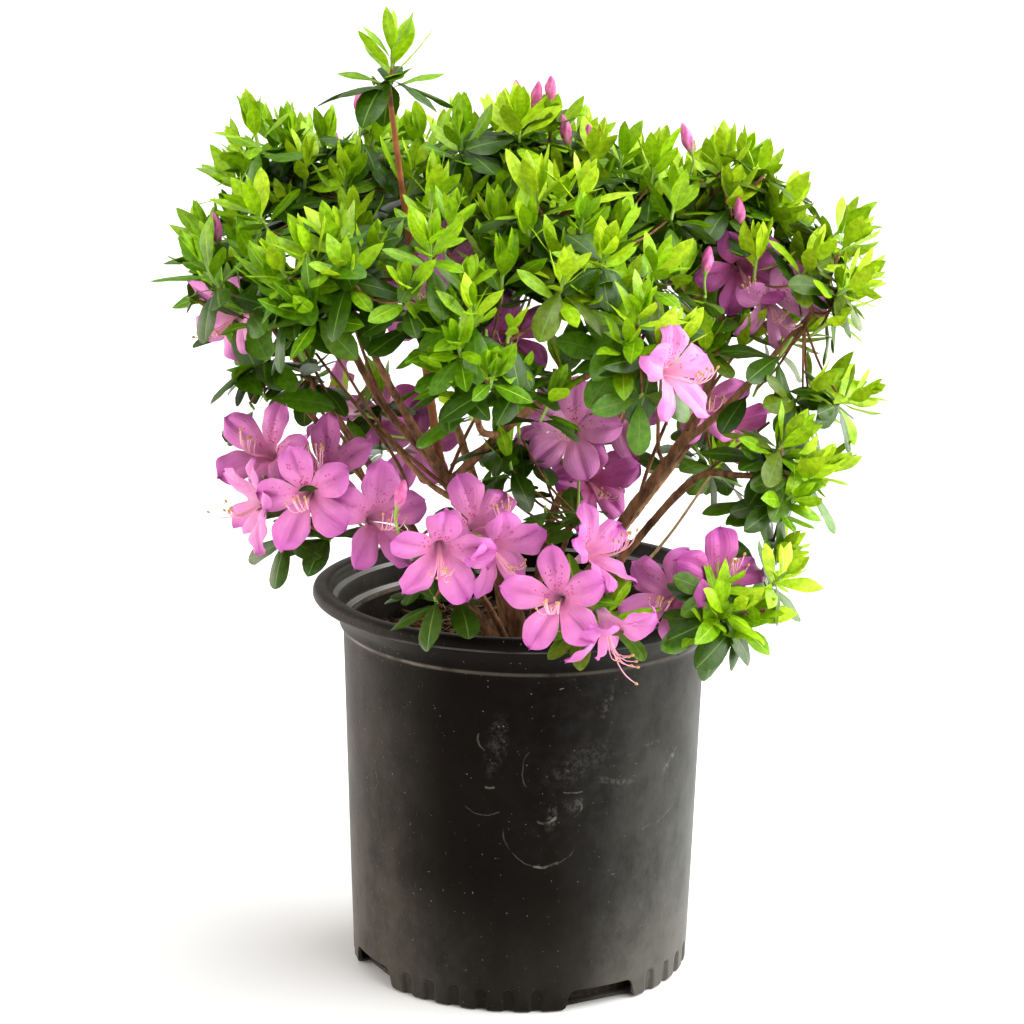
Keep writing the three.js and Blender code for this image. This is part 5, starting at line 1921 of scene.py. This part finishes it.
def pot_material():
    """Black moulded plastic with dust, specks, pits, smears and scratches, a painted sheen on its sides,
    and a painted highlight on its worn ledge.
    """
    material, tree, shader = new_material("pot_plastic", (0.002, 0.002, 0.002), 0.40, 0.03)
    shader.inputs["Sheen Weight"].default_value = SHEEN[0]
    shader.inputs["Sheen Roughness"].default_value = SHEEN[1]
    where = tree.nodes.new("ShaderNodeTexCoord").outputs["Object"]
    parts = tree.nodes.new("ShaderNodeSeparateXYZ")
    tree.links.new(where, parts.inputs["Vector"])
    x, y, z = (parts.outputs[axis] for axis in "XYZ")
    clouds = noise_node(tree, *CLOUDS)
    grain = noise_node(tree, *GRAIN)
    colour = ramp_node(tree, clouds, PLASTIC_TONES)
    layers = dust_and_sheen_layers(tree, x, z, grain) + mark_layers(tree, where, y) + wear_and_highlight_layers(tree, x, z)
    for mask, tint in layers:
        colour = mix_node(tree, "MIX", mask, colour, tint)
    tree.links.new(colour, shader.inputs["Base Color"])
    tree.links.new(ramp_node(tree, clouds, PLASTIC_ROUGHNESS), shader.inputs["Roughness"])
    left = step_node(tree, x, *PITTED_SIDE)
    pits = product(tree, patches_node(tree, PIT_PATCHES), left)
    relief = math_node(tree, "SUBTRACT", product(tree, grain, GRAIN_SHARE), pits)
    bump_node(tree, shader, relief, *PLASTIC_BUMP)
    return material


# A light grey on the steps inside the rim paints their highlight
RING_HIGHLIGHT_PLASTIC = new_material("ring_painted_highlight", (0.25, 0.25, 0.24), 0.22, 0.8)[0]
make_pot([pot_material(), RING_HIGHLIGHT_PLASTIC])


# Soil

SOIL_RINGS = 70
SOIL_COLUMNS = 260
SOIL_SIDE_ROWS = 30
SOIL_LOW_ROWS = 12
SOIL_GAP = 0.6
# How many of the lowest rows, behind the notches, are darkened as painted shade
SHADED_ROWS = 19
SOIL_ROUGHNESS = 2.6
SOIL_MOUND = 1.5
MOUND_RADIUS = 30

# The soil's levels: its top, its sides, its sides behind the notches, and its underside with the
# radii of its rings, and the highest that its crumbs stand
TOP_LEVEL = SOIL_TOP - 1.5
SIDE_LEVELS = (SOIL_TOP - 6, 14)
LOW_LEVELS = (12.8, 2.4)
UNDER_LEVEL = 2.2
UNDER_RADII = (60, 30, 4)
HIGHEST_SOIL = SOIL_TOP + 2

# Its crumbs: the scale of their noise per mm, with its roughness, lacunarity and octaves, and how
# far in they go behind the notches
CRUMB_SCALE = 0.09
CRUMB_NOISE = (0.7, 2.1, 5)
LOW_UNEVEN = 0.02


def make_soil():
    """The root ball: a rough top that slopes up to the stems, and rough sides for the drain notches,
    darker low down and underneath as painted shade.
    """
    inside = wall_radius(SOIL_TOP) - WALL - SOIL_GAP
    top = [(r, TOP_LEVEL) for r in np.linspace(0, inside, SOIL_RINGS)[1:]]
    levels = np.linspace(*SIDE_LEVELS, SOIL_SIDE_ROWS)
    sides = [(wall_radius(z) - WALL - SOIL_GAP, z) for z in levels]
    lower = [(FOOT_RADIUS - NOTCH_BITE - 1, z) for z in np.linspace(*LOW_LEVELS, SOIL_LOW_ROWS)]
    under = [(r, UNDER_LEVEL) for r in UNDER_RADII]
    profile = np.array(top + sides + lower + under)
    turn = np.linspace(0, 2 * math.pi, SOIL_COLUMNS, endpoint=False)
    radius = np.repeat(profile[:, :1], SOIL_COLUMNS, axis=1)
    height = np.repeat(profile[:, 1:], SOIL_COLUMNS, axis=1)
    points = np.stack([radius * np.sin(turn), -radius * np.cos(turn), height], axis=-1)
    for i, row in enumerate(points):
        for j, (x, y, z) in enumerate(row):
            rough = noise.fractal(Vector((x, y, z)) * CRUMB_SCALE, *CRUMB_NOISE)
            if i < len(top):
                mound = SOIL_MOUND * math.exp(-math.hypot(x, y) / MOUND_RADIUS)
                row[j, 2] = min(z + SOIL_ROUGHNESS * rough + mound, HIGHEST_SOIL)
            elif i >= len(top) + len(sides):
                row[j, :2] *= 1 - LOW_UNEVEN * abs(rough)
    gather = Gather()
    shaded_rows = np.arange(len(points) - 1) >= len(points) - 1 - SHADED_ROWS
    gather.grid(points[None], shaded_rows[None, :, None].astype(int), closed=True)
    rim = np.arange(SOIL_COLUMNS)[None]
    gather.faces.append((rim, np.array([0])))
    gather.faces.append((rim[:, ::-1] + gather.count - SOIL_COLUMNS, np.array([1])))
    return gather


CHIP_COUNT = 1500
CHIP_EDGE = 6
CHIP_SINK = 0.3
CHIP_LENGTHS = (3, 1.5)
CHIP_LEAST = 2
CHIP_WIDTHS = (1.5, 4.5)
CHIP_HEIGHTS = (0.7, 2.0)
CHIP_CORNERS = (0.6, 1.15)
CHIP_TILT = 0.22
CHIP_LIFTS = (-0.6, 1.6)
CHIP_SIDES = [(0, 2, 3, 1), (4, 5, 7, 6), (0, 1, 5, 4), (2, 6, 7, 3), (0, 4, 6, 2), (1, 3, 7, 5)]


def scatter_chips(gather):
    """Bark chips and crumbs that lie on the soil: small blocks with uneven corners."""
    number = CHIP_COUNT
    distance = (wall_radius(SOIL_TOP) - CHIP_EDGE) * np.sqrt(random.random(number))
    turn = random.uniform(0, 2 * math.pi, number)
    lengths = random.gamma(*CHIP_LENGTHS, number) + CHIP_LEAST
    widths = random.uniform(*CHIP_WIDTHS, number)
    size = np.stack([lengths, widths, random.uniform(*CHIP_HEIGHTS, number)], 1)
    lift = SOIL_TOP - CHIP_SINK + random.uniform(*CHIP_LIFTS, number)
    middle = np.stack([distance * np.sin(turn), distance * np.cos(turn), lift], 1)
    level = random.normal(0, 1, (number, 2))
    ahead = unit(np.concatenate([level, random.normal(0, CHIP_TILT, (number, 1))], 1))
    side = unit(np.cross(UP, ahead))
    top = np.cross(ahead, side)
    signs = np.array([(x, y, z) for z in (-1, 1) for y in (-1, 1) for x in (-1, 1)], float)
    offsets = signs[None] * size[:, None] / 2 * random.uniform(*CHIP_CORNERS, (number, 8, 3))
    points = middle[:, None] + sum(
        offsets[..., k, None] * axis[:, None] for k, axis in enumerate((ahead, side, top))
    )
    faces = np.array(CHIP_SIDES)[None] + 8 * np.arange(number)[:, None, None]
    gather.add(points, faces, np.repeat(random.integers(0, 3, number), len(CHIP_SIDES)))


ROOT_COUNT = 150
ROOT_REACH = (15, 12)
ROOT_EDGE = 4
ROOT_START = SOIL_TOP + 1.0
ROOT_BENDS = 4
ROOT_WANDER = 0.7
ROOT_LENGTHS = (4, 9)
ROOT_LIFTS = (0.2, 3.2)
ROOT_RADII = (0.18, 0.42)
ROOT_STEPS = 16
ROOT_SIDES = 5


def scatter_roots(gather):
    """Fine pale roots and fibres that lie in loose curves on the soil."""
    edge = wall_radius(SOIL_TOP)
    for _ in range(ROOT_COUNT):
        turn = random.uniform(0, 2 * math.pi)
        distance = random.uniform(ROOT_REACH[0], edge - ROOT_REACH[1])
        start = np.array([distance * math.sin(turn), distance * math.cos(turn), ROOT_START])
        heading = random.uniform(0, 2 * math.pi)
        points = [start]
        for _ in range(ROOT_BENDS):
            heading += random.normal(0, ROOT_WANDER)
            step = random.uniform(*ROOT_LENGTHS)
            moved = points[-1] + (step * math.cos(heading), step * math.sin(heading), 0)
            moved[2] = SOIL_TOP + random.uniform(*ROOT_LIFTS)
            if math.hypot(moved[0], moved[1]) > edge - ROOT_EDGE:
                break
            points.append(moved)
        if len(points) > 2:
            radius = random.uniform(*ROOT_RADII)
            add_twig(gather, points, (radius, radius), ROOT_STEPS, ROOT_SIDES)


SOIL = mottled("soil", (0.020, 0.012, 0.007), (0.095, 0.058, 0.034), 260, 0.95, 0.2, 0.0015)
# The darker soil low down and underneath is painted shade
SHADED_SOIL = mottled("soil_painted_shade", (0.005, 0.004, 0.003), (0.024, 0.016, 0.009), 300, 0.9, 0.2, 0.001)
CHIPS = [
    mottled("chip_brown", (0.060, 0.030, 0.016), (0.17, 0.095, 0.05), 300, 0.9, 0.2, 0.0004),
    mottled("chip_orange", (0.16, 0.066, 0.026), (0.34, 0.17, 0.075), 300, 0.85, 0.2, 0.0004),
    mottled("chip_dark", (0.018, 0.012, 0.009), (0.07, 0.045, 0.03), 300, 0.9, 0.2, 0.0004),
]
ROOT = mottled("root", (0.26, 0.16, 0.08), (0.46, 0.33, 0.19), 200, 0.8, 0.25)

make_soil().piece("soil_ball", [SOIL, SHADED_SOIL], "soil", ["soil"])
chips = Gather()
scatter_chips(chips)
chips.piece("bark_chips", CHIPS, "soil")
roots = Gather()
scatter_roots(roots)
roots.piece("roots", [ROOT], "soil")


# Stage, light and camera

FLOOR_SIZE = 60


def make_stage():
    bpy.ops.mesh.primitive_plane_add(size=FLOOR_SIZE)
    floor = bpy.context.object
    floor.name = "floor"
    floor.data.materials.append(new_material("floor", (0.93, 0.93, 0.93), 0.9, 0.1)[0])


# A soft key light from above and the right, even over the whole floor
KEY_FROM = (0.6, 0.3, 1.0)
KEY_ANGLE = 50
KEY_STRENGTH = 1.7

# A square soft box over the shrub
TOP_PLACE = (0.85, -0.75, 2.0)
TOP_AIM = (0, 0, 0.35)
TOP_SIZE = 1.3
TOP_POWER = 27

# The studio tent's light: by height, from the left to the right, and how the sides fade upwards
TENT_HEIGHTS = [(0.0, grey(0.15)), (0.15, grey(0.18)), (0.75, grey(0.85))]
TENT_SIDES = [(0.04, (6.0, 5.5, 4.9)), (0.24, grey(0.0)), (0.70, grey(0.0)), (0.96, (9.0, 9.0, 8.5))]
TENT_FADE = [(0.25, grey(1.0)), (0.5, grey(0.0))]


def make_world():
    """A studio tent: bright above and at both sides, dim behind the camera."""
    world = bpy.data.worlds.new("studio")
    world.use_nodes = True
    tree = world.node_tree
    where = tree.nodes.new("ShaderNodeTexCoord")
    parts = tree.nodes.new("ShaderNodeSeparateXYZ")
    tree.links.new(where.outputs["Generated"], parts.inputs["Vector"])
    above = ramp_node(tree, parts.outputs["Z"], TENT_HEIGHTS)
    across = math_node(tree, "ADD", math_node(tree, "MULTIPLY", parts.outputs["X"], 0.5), 0.5)
    sides = ramp_node(tree, across, TENT_SIDES)
    fade = ramp_node(tree, parts.outputs["Z"], TENT_FADE)
    light = mix_node(tree, "ADD", 1, above, mix_node(tree, "MULTIPLY", 1, sides, fade))
    tree.links.new(light, tree.nodes["Background"].inputs["Color"])
    bpy.context.scene.world = world


def add_lamp(name, kind, shines_from, strength):
    light = bpy.data.lights.new(name, kind)
    light.energy = strength
    lamp = bpy.data.objects.new(name, light)
    lamp.rotation_euler = Vector(shines_from).to_track_quat("Z", "Y").to_euler()
    bpy.context.scene.collection.objects.link(lamp)
    return lamp


def make_light():
    make_world()
    key = add_lamp("key", "SUN", KEY_FROM, KEY_STRENGTH)
    key.data.angle = math.radians(KEY_ANGLE)
    top = add_lamp("top", "AREA", Vector(TOP_PLACE) - Vector(TOP_AIM), TOP_POWER)
    top.data.size = TOP_SIZE
    top.location = TOP_PLACE
    bpy.context.scene.view_settings.view_transform = "Standard"


CAMERA_TARGET = (-7.29, 0, 250.5)
CAMERA_DISTANCE = 1673.7
CAMERA_PITCH = 13.73
CAMERA_ROLL = 0.72
CAMERA_FOCAL = 3110 / 1024
CAMERA_SENSOR = 36


def make_camera():
    data = bpy.data.cameras.new("camera")
    data.sensor_width = CAMERA_SENSOR
    data.lens = CAMERA_FOCAL * CAMERA_SENSOR
    camera = bpy.data.objects.new("camera", data)
    bpy.context.scene.collection.objects.link(camera)
    pitch = math.radians(CAMERA_PITCH)
    back = Vector((0, -math.cos(pitch), math.sin(pitch))) * CAMERA_DISTANCE
    place = Matrix.Translation((Vector(CAMERA_TARGET) + back) * MM)
    tilt = Matrix.Rotation(math.pi / 2 - pitch, 4, "X")
    camera.matrix_world = place @ tilt @ Matrix.Rotation(math.radians(CAMERA_ROLL), 4, "Z")
    bpy.context.scene.camera = camera


make_stage()
make_light()
make_camera()
